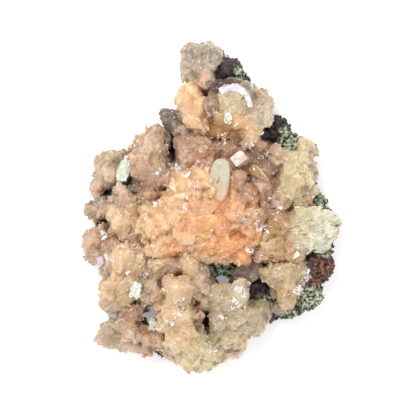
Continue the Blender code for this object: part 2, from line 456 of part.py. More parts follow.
def tablet_mesh(crystal):
    """A heulandite tablet: a coffin-shaped outline, extruded, with its edges bevelled."""
    curve = bpy.data.curves.new("coffin", "CURVE")
    curve.dimensions = "2D"
    curve.fill_mode = "BOTH"
    bevel = CHAMFER * MM
    curve.extrude = crystal.thick / 2 * MM - bevel
    curve.bevel_depth = bevel
    curve.bevel_resolution = 0
    half_length, half_width = crystal.length / 2, crystal.width / 2
    right = [(along * half_length, share * half_width) for along, share in COFFIN]
    left = [(along * half_length, -share * half_width) for along, share in reversed(COFFIN)]
    spline = curve.splines.new("POLY")
    spline.points.add(len(right + left) - 1)
    spline.use_cyclic_u = True
    inset = 1.0 - CHAMFER / half_length
    for point, (along, across) in zip(spline.points, right + left):
        point.co = (along * inset * MM, across * inset * MM, 0.0, 1.0)
    maker = bpy.data.objects.new("coffin", curve)
    bpy.context.scene.collection.objects.link(maker)
    mesh = evaluated(maker)
    bpy.data.objects.remove(maker)
    place = (
        Matrix.Translation(Vector((crystal.x, crystal.y, crystal.z)) * MM)
        @ Matrix.Rotation(math.radians(crystal.turn), 4, "Z")
        @ Matrix.Rotation(math.radians(-crystal.pitch), 4, "Y")
        @ Matrix.Rotation(math.radians(crystal.roll), 4, "X")
    )
    bm = bmesh.new()
    bm.from_mesh(mesh)
    bmesh.ops.remove_doubles(bm, verts=bm.verts, dist=WELD * MM)
    bm.transform(place)
    return mesh_from(bm, "tablet")


# Joining and cutting

def grown(mesh, clearance=GAP):
    """A copy of the mesh whose faces all stand out by the clearance."""
    bm = bmesh.new()
    bm.from_mesh(mesh)
    bm.normal_update()
    moves = [vert.normal * vert.calc_shell_factor() * clearance * MM for vert in bm.verts]
    for vert, move in zip(bm.verts, moves):
        vert.co += move
    return mesh_from(bm, mesh.name + "_clearance")


def box_of(obj):
    """The lower and upper corners of an object's mesh."""
    points = [vert.co for vert in obj.data.vertices]
    return [[pick(p[i] for p in points) for i in range(3)] for pick in (min, max)]


def boxes_meet(first, second):
    """Whether two objects' boxes overlap."""
    (low, high), (other_low, other_high) = box_of(first), box_of(second)
    return all(high[i] > other_low[i] and other_high[i] > low[i] for i in range(3))


def boolean(obj, others, operation, cutters):
    """Adds one Boolean with all of the other objects, which share a collection of their own."""
    group = bpy.data.collections.new(f"{obj.name}_{operation.lower()}")
    cutters.children.link(group)
    for other in others:
        group.objects.link(other)
    modifier = obj.modifiers.new(group.name, "BOOLEAN")
    modifier.operation = operation
    modifier.solver = "EXACT"
    modifier.operand_type = "COLLECTION"
    modifier.collection = group


def settle(obj):
    """Applies the modifiers and keeps the largest body, so that no loose chip is left by a cut."""
    mesh = evaluated(obj)
    mesh.materials.clear()
    mesh.materials.append(obj.data.materials[0])
    obj.modifiers.clear()
    bm = bmesh.new()
    bm.from_mesh(mesh)
    bmesh.ops.remove_doubles(bm, verts=bm.verts, dist=WELD * MM)
    loose = [edge for edge in bm.edges if not edge.link_faces]
    bmesh.ops.delete(bm, geom=loose, context="EDGES")
    bm.verts.ensure_lookup_table()
    seen, bodies = set(), []
    for start in bm.verts:
        if start.index in seen:
            continue
        body, queue = [], [start]
        seen.add(start.index)
        while queue:
            vert = queue.pop()
            body.append(vert)
            for edge in vert.link_edges:
                other = edge.other_vert(vert)
                if other.index not in seen:
                    seen.add(other.index)
                    queue.append(other)
        bodies.append(body)
    bodies.sort(key=body_size)
    for body in bodies[:-1]:
        bmesh.ops.delete(bm, geom=body, context="VERTS")
    bmesh.ops.triangulate(bm, faces=bm.faces)
    bm.to_mesh(mesh)
    bm.free()
    obj.data = mesh


def body_size(body):
    """The volume of a group of vertices' box."""
    spans = [max(v.co[i] for v in body) - min(v.co[i] for v in body) for i in range(3)]
    return spans[0] * spans[1] * spans[2]


def fused(name, meshes, parts, cutters, colour, roughness):
    """One object from overlapping meshes, joined by a Boolean union."""
    obj = new_object(name, meshes[0], parts)
    obj.data.materials.append(mineral(name, colour, roughness))
    if len(meshes) > 1:
        joined = [helper(f"{name}_join_{i}", mesh) for i, mesh in enumerate(meshes[1:])]
        boolean(obj, joined, "UNION", cutters)
        settle(obj)
    return obj


def evaluated(obj):
    """The object's mesh with its modifiers applied."""
    graph = bpy.context.evaluated_depsgraph_get()
    return bpy.data.meshes.new_from_object(obj.evaluated_get(graph))


def is_sound(mesh):
    """Whether every edge of the mesh has two faces and no two faces cross."""
    bm = bmesh.new()
    bm.from_mesh(mesh)
    bm.faces.ensure_lookup_table()
    sound = all(edge.is_manifold for edge in bm.edges)
    tree = BVHTree.FromBMesh(bm)
    for first, second in tree.overlap(tree):
        corners = set(bm.faces[first].verts) & set(bm.faces[second].verts)
        sound = sound and (first == second or bool(corners))
    bm.free()
    return sound


def lighten(obj, least):
    """Merges the sliver faces that the Booleans leave, which hardly moves the surface.

    It keeps the smallest share of the faces, from the least up, that leaves the piece sound."""
    modifier = obj.modifiers.new("lighter", "DECIMATE")
    for step in range(SHARE_STEPS):
        share = least + step * SHARE_STEP
        modifier.ratio = share
        if is_sound(evaluated(obj)):
            return
    obj.modifiers.remove(modifier)


def cut_back(obj, others, cutters):
    """Cuts an object clear of every other piece whose box meets its own."""
    met = [other for other in others if boxes_meet(obj, other)]
    if met:
        boolean(obj, met, "DIFFERENCE", cutters)
        settle(obj)


def build():
    """Builds the specimen."""
    for old in list(bpy.data.objects):
        bpy.data.objects.remove(old)
    parts = bpy.data.collections.new("stellerite_with_heulandite")
    cutters = bpy.data.collections.new("cutters")
    for collection in (parts, cutters):
        bpy.context.scene.collection.children.link(collection)

    stones = [rock_plate()] + [rock_knob(knob, i) for i, knob in enumerate(ROCK_KNOBS)]
    rock = fused("basalt_matrix", stones, parts, cutters, "3A2F33", 0.9)
    cut_back(rock, [helper("gap", rock_gap(gap, i)) for i, gap in enumerate(ROCK_GAPS)], cutters)
    lighten(rock, KEPT_OF_ROCK)
    settle(rock)
    cut_back(rock, [helper("ground", ground_block())], cutters)
    rock_socket = helper("rock_clearance", grown(evaluated(rock), ROCK_GAP))

    taken = [rock_socket]
    for crystal in CRYSTALS:
        tablet = tablet_mesh(crystal)
        taken.append(helper(crystal.name + "_clearance", grown(tablet)))
        obj = fused(crystal.name, [tablet], parts, cutters, crystal.colour, 0.3)
        cut_back(obj, [rock_socket], cutters)

    for cluster in CLUSTERS:
        sheaves = list(cluster.sheaves)
        if cluster.name == "orange_druse":
            sheaves += druse_sheaves(cluster)
        meshes = [sheaf_mesh(sheaf, cluster.root) for sheaf in sheaves]
        kept_clear = [helper(cluster.name + "_clearance", grown(mesh)) for mesh in meshes]
        obj = fused(cluster.name, meshes, parts, cutters, cluster.colour, 0.4)
        cut_back(obj, taken, cutters)
        lighten(obj, KEPT_OF_SHEAVES)
        taken += kept_clear


build()
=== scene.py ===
# %% [markdown]
# # Stellerite with heulandite
#
# This specimen lies on its flat back. A plate of dark basalt carries rounded sheaves of
# stellerite, an orange druse of smaller ones in the middle, and a few tabular heulandite
# crystals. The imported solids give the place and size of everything. This script dresses them:
# each group of sheaves becomes one lumpy skin with many blade tips on it, the rock gets its
# broken surface, and the tablets get their terraces.

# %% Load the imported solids
import math
from collections import namedtuple

import bmesh
import bpy
import numpy as np
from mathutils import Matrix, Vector
from mathutils.bvhtree import BVHTree


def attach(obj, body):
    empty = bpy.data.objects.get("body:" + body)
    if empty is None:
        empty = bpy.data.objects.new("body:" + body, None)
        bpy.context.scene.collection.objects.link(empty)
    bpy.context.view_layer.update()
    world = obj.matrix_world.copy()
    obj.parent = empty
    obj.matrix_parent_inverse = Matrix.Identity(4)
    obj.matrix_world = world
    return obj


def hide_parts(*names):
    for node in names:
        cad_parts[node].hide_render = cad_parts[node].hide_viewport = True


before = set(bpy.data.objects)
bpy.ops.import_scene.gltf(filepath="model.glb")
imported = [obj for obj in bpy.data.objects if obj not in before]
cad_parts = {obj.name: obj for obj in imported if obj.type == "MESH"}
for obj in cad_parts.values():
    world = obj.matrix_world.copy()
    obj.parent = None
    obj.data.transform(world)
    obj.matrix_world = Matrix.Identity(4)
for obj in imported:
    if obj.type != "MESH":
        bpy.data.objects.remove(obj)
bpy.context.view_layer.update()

MM = 0.001
rng = np.random.default_rng(23)
print("nodes:", len(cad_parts))

# %% [markdown]
# ## Colours
#
# Colours are picked as sRGB hex values, as an eye or a paint chart gives them. The renderer works
# with linear light, so one function converts them. The palette names the stellerite's tints: the
# mineral itself is colourless, and traces of iron stain it from cream to orange. Shade and dark
# are for sheaves that are thin over the dark rock.

# %% Colours
PALETTE = {
    "stone": "CDBBA8", "cream": "DCC9AE", "sand": "E8C69E", "olive": "D6C39B", "yellow": "DECAA2",
    "white": "EAE4CE", "butter": "E4D5B0", "honey": "CCA272", "amber": "CC9860", "tan": "D4B698",
    "khaki": "C6B292", "peach": "F6C89A", "orange": "F4B680", "rust": "A86A3C", "rose": "D8AE92",
    "brown": "BE9474", "smoke": "A98A72", "grey": "B8AB9A", "moss": "B6A984", "apricot": "F0AA6E",
    "shade": "84766F", "dark": "4E4042", "straw": "D6BC92", "salmon": "E8B890",
}


def linear(code):
    """An sRGB hex colour as linear red, green and blue."""
    parts = np.array([int(code[i:i + 2], 16) for i in (0, 2, 4)]) / 255
    return np.where(parts <= 0.04045, parts / 12.92, ((parts + 0.055) / 1.055) ** 2.4)


TINT = {name: linear(code) for name, code in PALETTE.items()}
print("tints:", len(TINT))

# %% [markdown]
# ## Irregularity
#
# Natural surfaces need noise that has a known grain size. Value noise gives a random number to
# every corner of a cubic lattice and blends the eight corners round a point. It is worked out
# for all points at once, and always comes out the same.

# %% Noise for whole arrays of points


def hashed(cells, seed):
    """A random number from 0 to 1 for each whole-numbered cell, always the same for the same cell."""
    mixed = (cells[:, 0] * 73856093 ^ cells[:, 1] * 19349663 ^ cells[:, 2] * 83492791
             ^ seed * 2654435761)
    mixed = (mixed ^ (mixed >> 13)) * 1274126177
    return ((mixed ^ (mixed >> 16)) & 0xFFFF) / 0xFFFF


def lattice(points, seed):
    """Value noise from -1 to 1: a hashed number at each lattice corner, blended by 3t^2 - 2t^3."""
    cell = np.floor(points).astype(np.int64)
    part = points - cell
    part = part * part * (3 - 2 * part)
    total = np.zeros(len(points))
    for corner in np.ndindex(2, 2, 2):
        weight = np.prod(np.where(corner, part, 1 - part), axis=1)
        total += hashed(cell + corner, seed) * weight
    return 2 * total - 1


def fractal(points, size, seed, octaves=3):
    """Several layers of lattice noise, each half the size and half the strength of the last."""
    total = np.zeros(len(points))
    for i in range(octaves):
        total += lattice(points / (size / 2 ** i), seed + i) / 2 ** i
    return total / (2 - 2 / 2 ** octaves)


ROW = np.linspace(0, 50, 500)[:, None] * [1.0, 0.3, 0.7]
print("noise along a line: least", fractal(ROW, 3.0, 1).min(), "most", fractal(ROW, 3.0, 1).max())

# %% [markdown]
# ## Packets of crystals
#
# Where crystals grow close together, small packets of them end in one flat facet, each at its own
# tilt. Cells round random spots divide space in that way, and each cell gets a slope of its own.

# %% Facets at random tilts


def packets(points, size, seed):
    """Space divided among one random spot per cell. For each point: its part's random slope times
    the way from the part's spot, how far the next part is, and the part's own random number.

    The first, as a height, gives flat facets at random tilts, with a step between neighbours."""
    scaled = points / size
    cell = np.floor(scaled).astype(np.int64)
    nearest = np.full(len(points), np.inf)
    second = np.full(len(points), np.inf)
    slope = np.zeros(len(points))
    number = np.zeros(len(points))
    for shift in np.ndindex(3, 3, 3):
        at = cell + np.array(shift) - 1
        way = scaled - at - np.stack([hashed(at, seed + i) for i in range(3)], axis=1)
        tilt = np.stack([hashed(at, seed + i) for i in range(3, 6)], axis=1) * 2 - 1
        away = np.linalg.norm(way, axis=1)
        closer = away < nearest
        second = np.where(closer, nearest, np.minimum(second, away))
        slope = np.where(closer, (way * tilt).sum(axis=1) * size, slope)
        number = np.where(closer, hashed(at, seed + 6), number)
        nearest = np.where(closer, away, nearest)
    return slope, second - nearest, number


print("packets cut by a line:", len(np.unique(packets(ROW, 3.0, 1)[2])))

# %% [markdown]
# ## Putting arrays into a mesh
#
# Every new piece is a few numpy arrays: points in millimetres, and faces as rows of indices.
# `foreach_set` copies them into Blender in one go. Values per point, such as a tint, are stored
# as attributes, which the materials read.

# %% From arrays to a piece


def piece(name, points, faces, attributes, smooth, material):
    """A mesh object at the origin, from points in millimetres and lists of faces by their size.

    The first faces are shaded smooth, as many as smooth says, and the rest are flat facets. An
    attribute has one or three values per point."""
    mesh = bpy.data.meshes.new(name)
    sizes = np.concatenate([np.full(len(rows), rows.shape[1]) for rows in faces])
    corners = np.concatenate([rows.ravel() for rows in faces])
    mesh.vertices.add(len(points))
    mesh.vertices.foreach_set("co", (points * MM).astype(np.float32).ravel())
    mesh.loops.add(len(corners))
    mesh.loops.foreach_set("vertex_index", corners.astype(np.int32))
    mesh.polygons.add(len(sizes))
    starts = np.concatenate([[0], np.cumsum(sizes)[:-1]])
    mesh.polygons.foreach_set("loop_start", starts.astype(np.int32))
    mesh.polygons.foreach_set("use_smooth", np.arange(len(sizes)) < smooth)
    mesh.update(calc_edges=True)
    for key, values in attributes.items():
        if values.ndim == 2:
            layer = mesh.attributes.new(key, "FLOAT_VECTOR", "POINT")
            layer.data.foreach_set("vector", values.astype(np.float32).ravel())
        else:
            layer = mesh.attributes.new(key, "FLOAT", "POINT")
            layer.data.foreach_set("value", values.astype(np.float32))
    mesh.materials.append(material)
    obj = bpy.data.objects.new(name, mesh)
    bpy.context.scene.collection.objects.link(obj)
    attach(obj, "root")
    print(name, "faces:", len(sizes), "triangles:", int((sizes - 2).sum()))
    return obj


# %% [markdown]
# ## Adding nodes
#
# One small function adds a shader node, with its settings and its links, so a material reads as
# a short list of what makes it. Two more use it for what the materials share: noise of a known
# grain size, and one shader with its output.

# %% Functions that add nodes


def add(tree, kind, settings=None, **links):
    """Adds a node. A setting is a property of the node, or the value of an input by name or number."""
    node = tree.nodes.new(kind)
    for key, value in (settings or {}).items():
        if isinstance(key, str) and hasattr(node, key):
            setattr(node, key, value)
        else:
            node.inputs[key].default_value = value
    for key, source in links.items():
        socket = int(key[1:]) if key[1:].isdigit() else key.replace("_", " ")
        tree.links.new(source, node.inputs[socket])
    return node


def new_material(name):
    """An empty node material, its tree, and its Object coordinates."""
    material = bpy.data.materials.new(name)
    material.use_nodes = True
    tree = material.node_tree
    tree.nodes.clear()
    coords = add(tree, "ShaderNodeTexCoord").outputs["Object"]
    return material, tree, coords


def rgba(code):
    """A hex colour as the four numbers that a colour socket takes."""
    return (*linear(code), 1.0)


def mottled(tree, coords, size, detail):
    """Noise from 0 to 1 with a grain of so many mm. A texture's scale counts grains per metre."""
    return add(tree, "ShaderNodeTexNoise", {"Scale": 1000 / size, "Detail": detail},
               Vector=coords).outputs["Fac"]


def surface(tree, settings, **links):
    """The material's one shader, joined to its output."""
    shader = add(tree, "ShaderNodeBsdfPrincipled", settings, **links)
    add(tree, "ShaderNodeOutputMaterial", Surface=shader.outputs[0])


print("cream as a colour socket takes it:", np.round(rgba(PALETTE["cream"]), 3))

# %% [markdown]
# ## Stellerite
#
# Stellerite is a zeolite. Its crystals are thin blades with a pearly broad face, grown side by
# side in sheaves, so a sheaf is waxy and lets light in some millimetres deep. Subsurface
# scattering gives that depth. The base colour is the sheaf's own tint, and a mottling of 1.1 mm
# varies it, because no two blades are equally clear. Cells of 0.75 mm stand for the ends of
# small crystals: each is a little paler or darker, and more or less polished, than the next,
# which gives the fine sparkle. Along the blades run striations. They follow the attribute flow,
# whose first number runs along the blades and whose second runs across them, so one noise read
# there comes out stretched along every blade.
#
# The orange groups are made of finer and clearer crystals. Light goes deeper into them, and
# their relief is softer, so they glow evenly.

# %% Waxy sheaves


def sheaf_wax(name, depth, relief_strength):
    """Pearly zeolite: light enters it to a depth in mm, and striations catch it along the blades."""
    material, tree, coords = new_material(name)
    tint = add(tree, "ShaderNodeAttribute", {"attribute_name": "tint"}).outputs["Color"]
    flow = add(tree, "ShaderNodeAttribute", {"attribute_name": "flow"}).outputs["Vector"]
    mottle = mottled(tree, coords, 1.1, 4.0)
    striae = add(tree, "ShaderNodeTexNoise", {"Scale": 1.0, "Detail": 3.0}, Vector=flow)
    ends = add(tree, "ShaderNodeTexVoronoi", {"Scale": 1000 / 0.75}, Vector=coords)
    both = add(tree, "ShaderNodeMix", {0: 0.5}, _2=mottle, _3=striae.outputs["Fac"])
    grainy = add(tree, "ShaderNodeMix", {0: 0.22}, _2=both.outputs[0], _3=ends.outputs["Color"])
    value = add(tree, "ShaderNodeMapRange", {"From Min": 0.34, "From Max": 0.66, "To Min": 0.86,
                                             "To Max": 1.13}, Value=grainy.outputs[0])
    toned = add(tree, "ShaderNodeHueSaturation", {}, Color=tint, Value=value.outputs[0])
    relief = add(tree, "ShaderNodeMath", {"operation": "MULTIPLY_ADD", 1: -0.45},
                 _0=ends.outputs["Distance"], _2=both.outputs[0])
    bump = add(tree, "ShaderNodeBump", {"Strength": relief_strength, "Distance": 0.35 * MM},
               Height=relief.outputs[0])
    polish = add(tree, "ShaderNodeMapRange", {"To Min": 0.14, "To Max": 0.5},
                 Value=ends.outputs["Color"])
    surface(tree, {
        "IOR": 1.5, "Subsurface Weight": 0.95, "Subsurface Scale": depth * MM,
        "Subsurface Radius": (1.0, 0.78, 0.6), "Coat Weight": 0.5, "Coat Roughness": 0.1,
    }, Base_Color=toned.outputs[0], Roughness=polish.outputs[0], Normal=bump.outputs[0])
    return material


WAX = sheaf_wax("zeolite_waxy_sheaf", 3.0, 0.9)
SUGAR = sheaf_wax("zeolite_soft_orange", 5.5, 0.55)
print("materials:", WAX.name, SUGAR.name)

# %% [markdown]
# ## Single blades
#
# Blades that stand out alone are thin and glassy, so they have a material of their own. They are
# also a mesh of their own: scattered light stops at every surface of its own mesh, so blades sunk
# in the sheaf's mesh would cast dark lines into it. A few are clear, and painted nearly white as
# painted glints.

# %% Glassy blades


def single_blades():
    """Thin glassy zeolite blades.

    One whose chance is over 0.96 is clear, and painted nearly white as a painted glint.
    """
    material, tree, _ = new_material("zeolite_glassy_blades_some_painted_glints")
    tint = add(tree, "ShaderNodeAttribute", {"attribute_name": "tint"}).outputs["Color"]
    chance = add(tree, "ShaderNodeAttribute", {"attribute_name": "chance"}).outputs["Fac"]
    # The share of near-white colour, a painted glint, for a blade whose chance is over 0.95.
    clear = add(tree, "ShaderNodeMapRange", {"From Min": 0.95, "From Max": 0.97, "To Max": 0.9},
                Value=chance)
    colour = add(tree, "ShaderNodeMix", {"data_type": "RGBA", 7: rgba("FBF4FA")},
                 _0=clear.outputs[0], _6=tint)
    polish = add(tree, "ShaderNodeMapRange", {"To Min": 0.4, "To Max": 0.12}, Value=chance)
    surface(tree, {"IOR": 1.5, "Coat Weight": 0.5, "Coat Roughness": 0.08},
            Base_Color=colour.outputs[2], Roughness=polish.outputs[0])
    return material


BLADES = single_blades()
print("material:", BLADES.name)

# %% [markdown]
# ## Where the sheaves are
#
# This is the same list that the solids were made from: each sheaf's middle in plan, the height
# of its top, its half length and half width, the turn of its length in degrees, and its tint.
# A low sheaf that only fills the space between others is in it too.

# %% The sheaves
Sheaf = namedtuple("Sheaf", "x y top long wide turn tint")
SHEAVES = {
    "bottom_pillar": (8.5, [
        (-11.6, -28.4, 32.0, 5.2, 3.9, 0, "sand"), (-10.7, -33.6, 33.0, 4.8, 3.8, 95, "sand"),
        (-11.2, -39.4, 35.0, 5.9, 5.2, 10, "sand"), (-9.6, -46.4, 33.0, 5.4, 5.0, 80, "sand"),
        (-4.2, -52.0, 31.0, 7.2, 6.6, 62, "yellow"), (-12.2, -51.0, 21.5, 3.8, 3.2, 40, "tan"),
        (-1.4, -54.2, 22.0, 5.0, 4.6, 20, "yellow"), (-4.8, -38.8, 24.0, 3.4, 3.2, 60, "brown"),
        (-10.4, -38.0, 24.0, 11.0, 6.2, 92, "sand"), (-6.6, -49.6, 23.0, 8.4, 7.4, 60, "tan"),
    ]),
    "bottom_right_sheaves": (8.5, [
        (5.2, -32.6, 32.0, 5.2, 4.8, 35, "khaki"), (10.2, -31.2, 30.5, 3.9, 3.6, 60, "butter"),
        (3.6, -41.4, 31.0, 5.2, 3.4, 95, "khaki"), (12.6, -41.0, 30.0, 7.2, 4.4, -8, "khaki"),
        (8.0, -46.4, 27.0, 5.2, 4.0, 25, "olive"), (2.6, -49.8, 26.0, 4.8, 4.2, 110, "olive"),
        (16.6, -36.8, 18.5, 4.2, 3.0, -40, "moss"), (7.6, -37.4, 23.0, 9.0, 7.4, 85, "khaki"),
        (6.8, -46.6, 21.0, 7.4, 6.4, 60, "tan"),
    ]),
    "right_fan": (8.5, [
        (40.2, -7.4, 27.0, 7.4, 6.2, 60, "white"), (33.4, -5.2, 29.0, 6.2, 4.8, 48, "butter"),
        (25.6, -8.0, 29.0, 6.6, 5.4, 40, "honey"), (21.4, -11.8, 28.0, 4.2, 3.6, 120, "sand"),
        (27.4, -15.4, 27.0, 5.8, 4.0, 8, "honey"), (33.4, -12.6, 27.0, 4.0, 3.2, 70, "cream"),
        (24.6, -1.9, 25.5, 4.8, 2.6, 5, "brown"), (34.0, -9.0, 22.5, 11.5, 7.0, 5, "butter"),
        (25.2, -10.6, 22.0, 7.8, 6.8, 60, "honey"), (31.6, -16.2, 24.2, 3.6, 3.0, 30, "sand"),
        (19.4, -15.4, 25.5, 4.2, 3.2, 25, "rose"),
    ]),
    "lower_right_fan": (8.5, [
        (27.7, -23.2, 28.0, 7.4, 4.4, 8, "straw"), (28.9, -28.4, 26.0, 5.6, 4.0, 98, "straw"),
        (29.4, -32.6, 22.0, 3.0, 2.6, 90, "tan"), (34.9, -24.1, 19.6, 5.2, 2.2, 62, "white"),
        (32.2, -30.3, 18.6, 4.4, 2.1, 66, "khaki"), (29.7, -26.9, 20.6, 8.6, 6.3, 95, "tan"),
    ]),
    "right_shoulder_sheaves": (8.5, [
        (31.4, 12.6, 30.0, 7.4, 5.8, 72, "yellow"), (29.2, 6.0, 28.5, 4.8, 3.8, 40, "yellow"),
        (25.4, 18.9, 26.0, 4.0, 3.4, 150, "tan"), (34.9, 21.6, 20.5, 3.6, 3.0, 60, "butter"),
        (36.5, 12.6, 22.0, 4.4, 2.5, 85, "khaki"), (35.0, 6.4, 23.0, 2.9, 2.4, 20, "tan"),
        (26.0, 2.9, 26.5, 4.6, 2.9, 15, "rose"), (32.8, 2.1, 22.5, 4.6, 2.5, -18, "brown"),
        (31.0, 8.4, 22.0, 10.5, 6.8, 82, "khaki"), (31.0, 18.0, 20.0, 6.6, 6.2, 40, "tan"),
        (25.4, 11.4, 25.0, 4.0, 3.4, 95, "brown"),
    ]),
    "orange_druse": (8.5, [
        (0.0, -3.5, 36.0, 9.0, 8.0, 20, "orange"), (-8.0, 7.3, 33.0, 7.4, 6.2, 35, "peach"),
        (-14.0, -5.0, 32.0, 7.0, 6.4, 60, "peach"), (-21.0, -8.8, 30.0, 7.6, 4.4, 96, "peach"),
        (9.6, -2.0, 34.0, 6.8, 6.2, 110, "salmon"), (5.6, -12.4, 32.0, 7.4, 5.8, -15, "apricot"),
        (13.5, 6.4, 30.0, 5.0, 4.6, 40, "rust"), (-5.0, -10.2, 31.5, 6.8, 5.2, -20, "peach"),
        (14.6, -10.6, 29.5, 4.8, 4.4, 75, "orange"), (-0.8, 9.4, 34.0, 5.0, 4.8, 0, "peach"),
        (12.0, -16.2, 28.0, 3.2, 2.7, 120, "apricot"), (7.0, -17.2, 27.5, 3.0, 2.4, 60, "peach"),
        (-7.4, 1.0, 32.5, 6.0, 5.0, 10, "peach"), (6.0, 4.6, 31.5, 5.4, 4.4, -30, "apricot"),
        (4.4, 11.0, 30.5, 5.0, 4.6, 97, "orange"), (9.6, 10.2, 30.0, 4.8, 4.2, 40, "brown"),
        (-13.2, 1.6, 29.5, 6.4, 5.0, 60, "peach"), (-10.6, -13.6, 26.5, 5.6, 3.8, 20, "apricot"),
        (16.8, -4.8, 28.0, 4.8, 4.0, 60, "rose"), (-23.0, 0.2, 25.5, 4.2, 3.6, 100, "sand"),
        (-18.2, -14.8, 26.5, 4.6, 3.8, 20, "peach"), (-2.0, -15.8, 26.5, 5.2, 3.4, 8, "sand"),
    ]),
    "upper_right_sheaves": (8.5, [
        (9.6, 38.2, 33.0, 5.9, 5.0, 18, "olive"), (10.2, 32.8, 31.5, 3.8, 3.2, 50, "peach"),
        (5.6, 33.2, 31.0, 4.0, 3.4, 100, "honey"), (17.8, 33.8, 29.0, 4.6, 4.0, 60, "cream"),
        (19.4, 38.3, 23.5, 3.6, 3.2, 125, "khaki"), (14.8, 27.6, 30.0, 4.6, 3.2, 82, "sand"),
        (6.0, 28.0, 27.0, 5.8, 3.4, 0, "amber"), (17.8, 23.2, 25.0, 4.8, 3.4, 8, "brown"),
        (5.6, 44.2, 25.0, 3.4, 2.0, 15, "dark"), (11.0, 44.2, 26.0, 3.4, 2.0, -18, "dark"),
        (14.8, 41.0, 26.0, 3.4, 2.0, -58, "shade"), (11.0, 35.6, 23.5, 10.5, 8.4, 50, "olive"),
        (1.8, 37.2, 25.5, 4.4, 3.6, 100, "tan"), (13.4, 27.4, 21.5, 8.0, 6.4, 60, "honey"),
        (3.0, 31.0, 23.0, 4.6, 3.8, 60, "honey"),
    ]),
    "orange_wedge": (8.5, [
        (-7.0, 40.2, 26.0, 5.9, 3.3, 68, "peach"), (-4.9, 32.0, 28.0, 7.3, 3.2, -43, "peach"),
        (-3.1, 38.0, 27.0, 5.8, 2.5, 102, "peach"), (-4.6, 35.6, 21.0, 8.4, 4.8, 105, "orange"),
    ]),
    "summit_sheaves": (8.5, [
        (-5.6, 53.6, 24.5, 6.0, 3.3, 95, "stone"), (0.4, 55.0, 24.0, 4.9, 4.6, 60, "grey"),
        (2.2, 54.3, 20.5, 4.6, 3.4, 115, "dark"), (-5.7, 47.6, 21.0, 3.4, 2.5, 82, "khaki"),
        (-1.2, 47.0, 25.0, 5.2, 2.8, 95, "rose"), (-1.4, 51.4, 19.5, 8.4, 5.4, 95, "stone"),
    ]),
    "upper_left_sheaves": (8.5, [
        (-20.3, 22.0, 29.0, 7.2, 5.6, 55, "tan"), (-24.2, 16.4, 29.0, 5.2, 4.4, 60, "rose"),
        (-19.4, 14.3, 27.5, 4.4, 3.8, 20, "tan"), (-18.3, 27.4, 22.5, 3.4, 2.7, -20, "smoke"),
        (-25.8, 20.6, 19.5, 4.0, 2.6, 50, "khaki"), (-21.4, 7.0, 25.5, 4.6, 3.9, 20, "brown"),
        (-22.8, 10.8, 25.0, 3.8, 2.8, 0, "rose"), (-27.0, 7.6, 21.0, 3.2, 2.4, 30, "grey"),
        (-16.0, 10.8, 26.0, 3.8, 3.2, 60, "rose"), (-21.4, 16.8, 22.5, 11.5, 7.4, 68, "tan"),
        (-22.6, 9.0, 20.5, 7.4, 5.8, 20, "brown"),
    ]),
    "upper_middle_sheaves": (8.5, [
        (-8.2, 20.4, 28.5, 5.0, 4.2, 60, "rose"), (-3.0, 23.0, 29.0, 4.8, 3.6, -15, "rose"),
        (-9.2, 15.4, 27.0, 3.8, 3.0, 20, "tan"), (-8.8, 27.0, 24.5, 3.6, 2.6, 100, "smoke"),
        (-13.4, 32.0, 22.0, 3.8, 3.0, 110, "shade"), (-11.2, 28.6, 20.0, 3.0, 2.4, 140, "dark"),
        (3.4, 21.6, 28.0, 4.6, 3.6, 20, "brown"), (9.2, 22.0, 28.0, 4.4, 3.2, -12, "brown"),
        (-5.4, 21.0, 22.5, 7.4, 5.8, 20, "rose"), (6.4, 21.2, 22.5, 7.4, 4.8, 0, "brown"),
        (-7.6, 14.8, 24.0, 4.6, 3.8, 20, "brown"), (-12.0, 11.8, 24.5, 3.8, 3.0, 25, "rose"),
        (0.6, 16.6, 27.0, 4.6, 3.6, 70, "rose"),
    ]),
    "smoky_sheaves": (8.5, [
        (14.4, 16.4, 26.5, 4.2, 3.8, 60, "smoke"), (19.8, 14.2, 26.5, 4.6, 4.2, 110, "smoke"),
        (19.2, 7.8, 27.5, 4.8, 4.4, 50, "rose"), (20.4, 1.6, 25.5, 3.8, 2.8, 80, "brown"),
        (18.2, 10.0, 21.5, 9.4, 6.2, 105, "smoke"), (11.8, 17.6, 28.0, 4.0, 3.6, 0, "brown"),
        (8.4, 15.4, 27.5, 4.2, 3.4, 100, "brown"),
    ]),
    "far_left_sheaves": (5.0, [
        (-37.2, 13.3, 21.0, 4.8, 4.1, 60, "tan"), (-35.4, 17.8, 19.0, 3.4, 2.7, 160, "khaki"),
        (-39.7, 8.9, 18.0, 3.6, 2.9, 32, "tan"), (-31.8, 14.8, 20.5, 5.0, 3.6, 66, "khaki"),
        (-37.0, 12.6, 15.5, 6.6, 5.2, 60, "tan"), (-33.4, 9.8, 17.5, 3.8, 3.2, 20, "smoke"),
    ]),
    "left_ball_sheaves": (6.0, [
        (-31.6, 3.9, 26.0, 4.2, 3.6, 70, "tan"), (-27.2, 1.3, 26.0, 2.8, 2.6, 45, "sand"),
        (-31.2, -4.4, 28.0, 5.6, 4.9, 140, "sand"), (-26.8, -5.0, 25.5, 3.6, 3.2, 20, "sand"),
        (-29.4, -9.4, 25.0, 3.6, 2.8, 10, "rose"), (-39.6, 2.3, 16.5, 5.2, 2.2, 32, "grey"),
        (-39.0, -0.9, 18.0, 5.0, 2.6, -5, "tan"), (-30.6, -1.4, 20.5, 9.4, 6.6, 96, "tan"),
        (-35.8, 1.4, 15.5, 7.4, 4.2, 8, "grey"),
    ]),
    "lower_left_sheaves": (6.0, [
        (-29.2, -17.8, 29.0, 7.0, 5.8, 0, "sand"), (-31.5, -27.2, 28.0, 6.8, 4.9, 18, "sand"),
        (-34.4, -13.0, 23.5, 3.4, 2.8, 50, "brown"), (-36.0, -28.4, 21.5, 3.2, 2.8, 80, "sand"),
        (-30.8, -31.8, 23.5, 3.4, 2.6, 20, "sand"), (-36.4, -22.6, 19.0, 3.2, 2.8, 90, "khaki"),
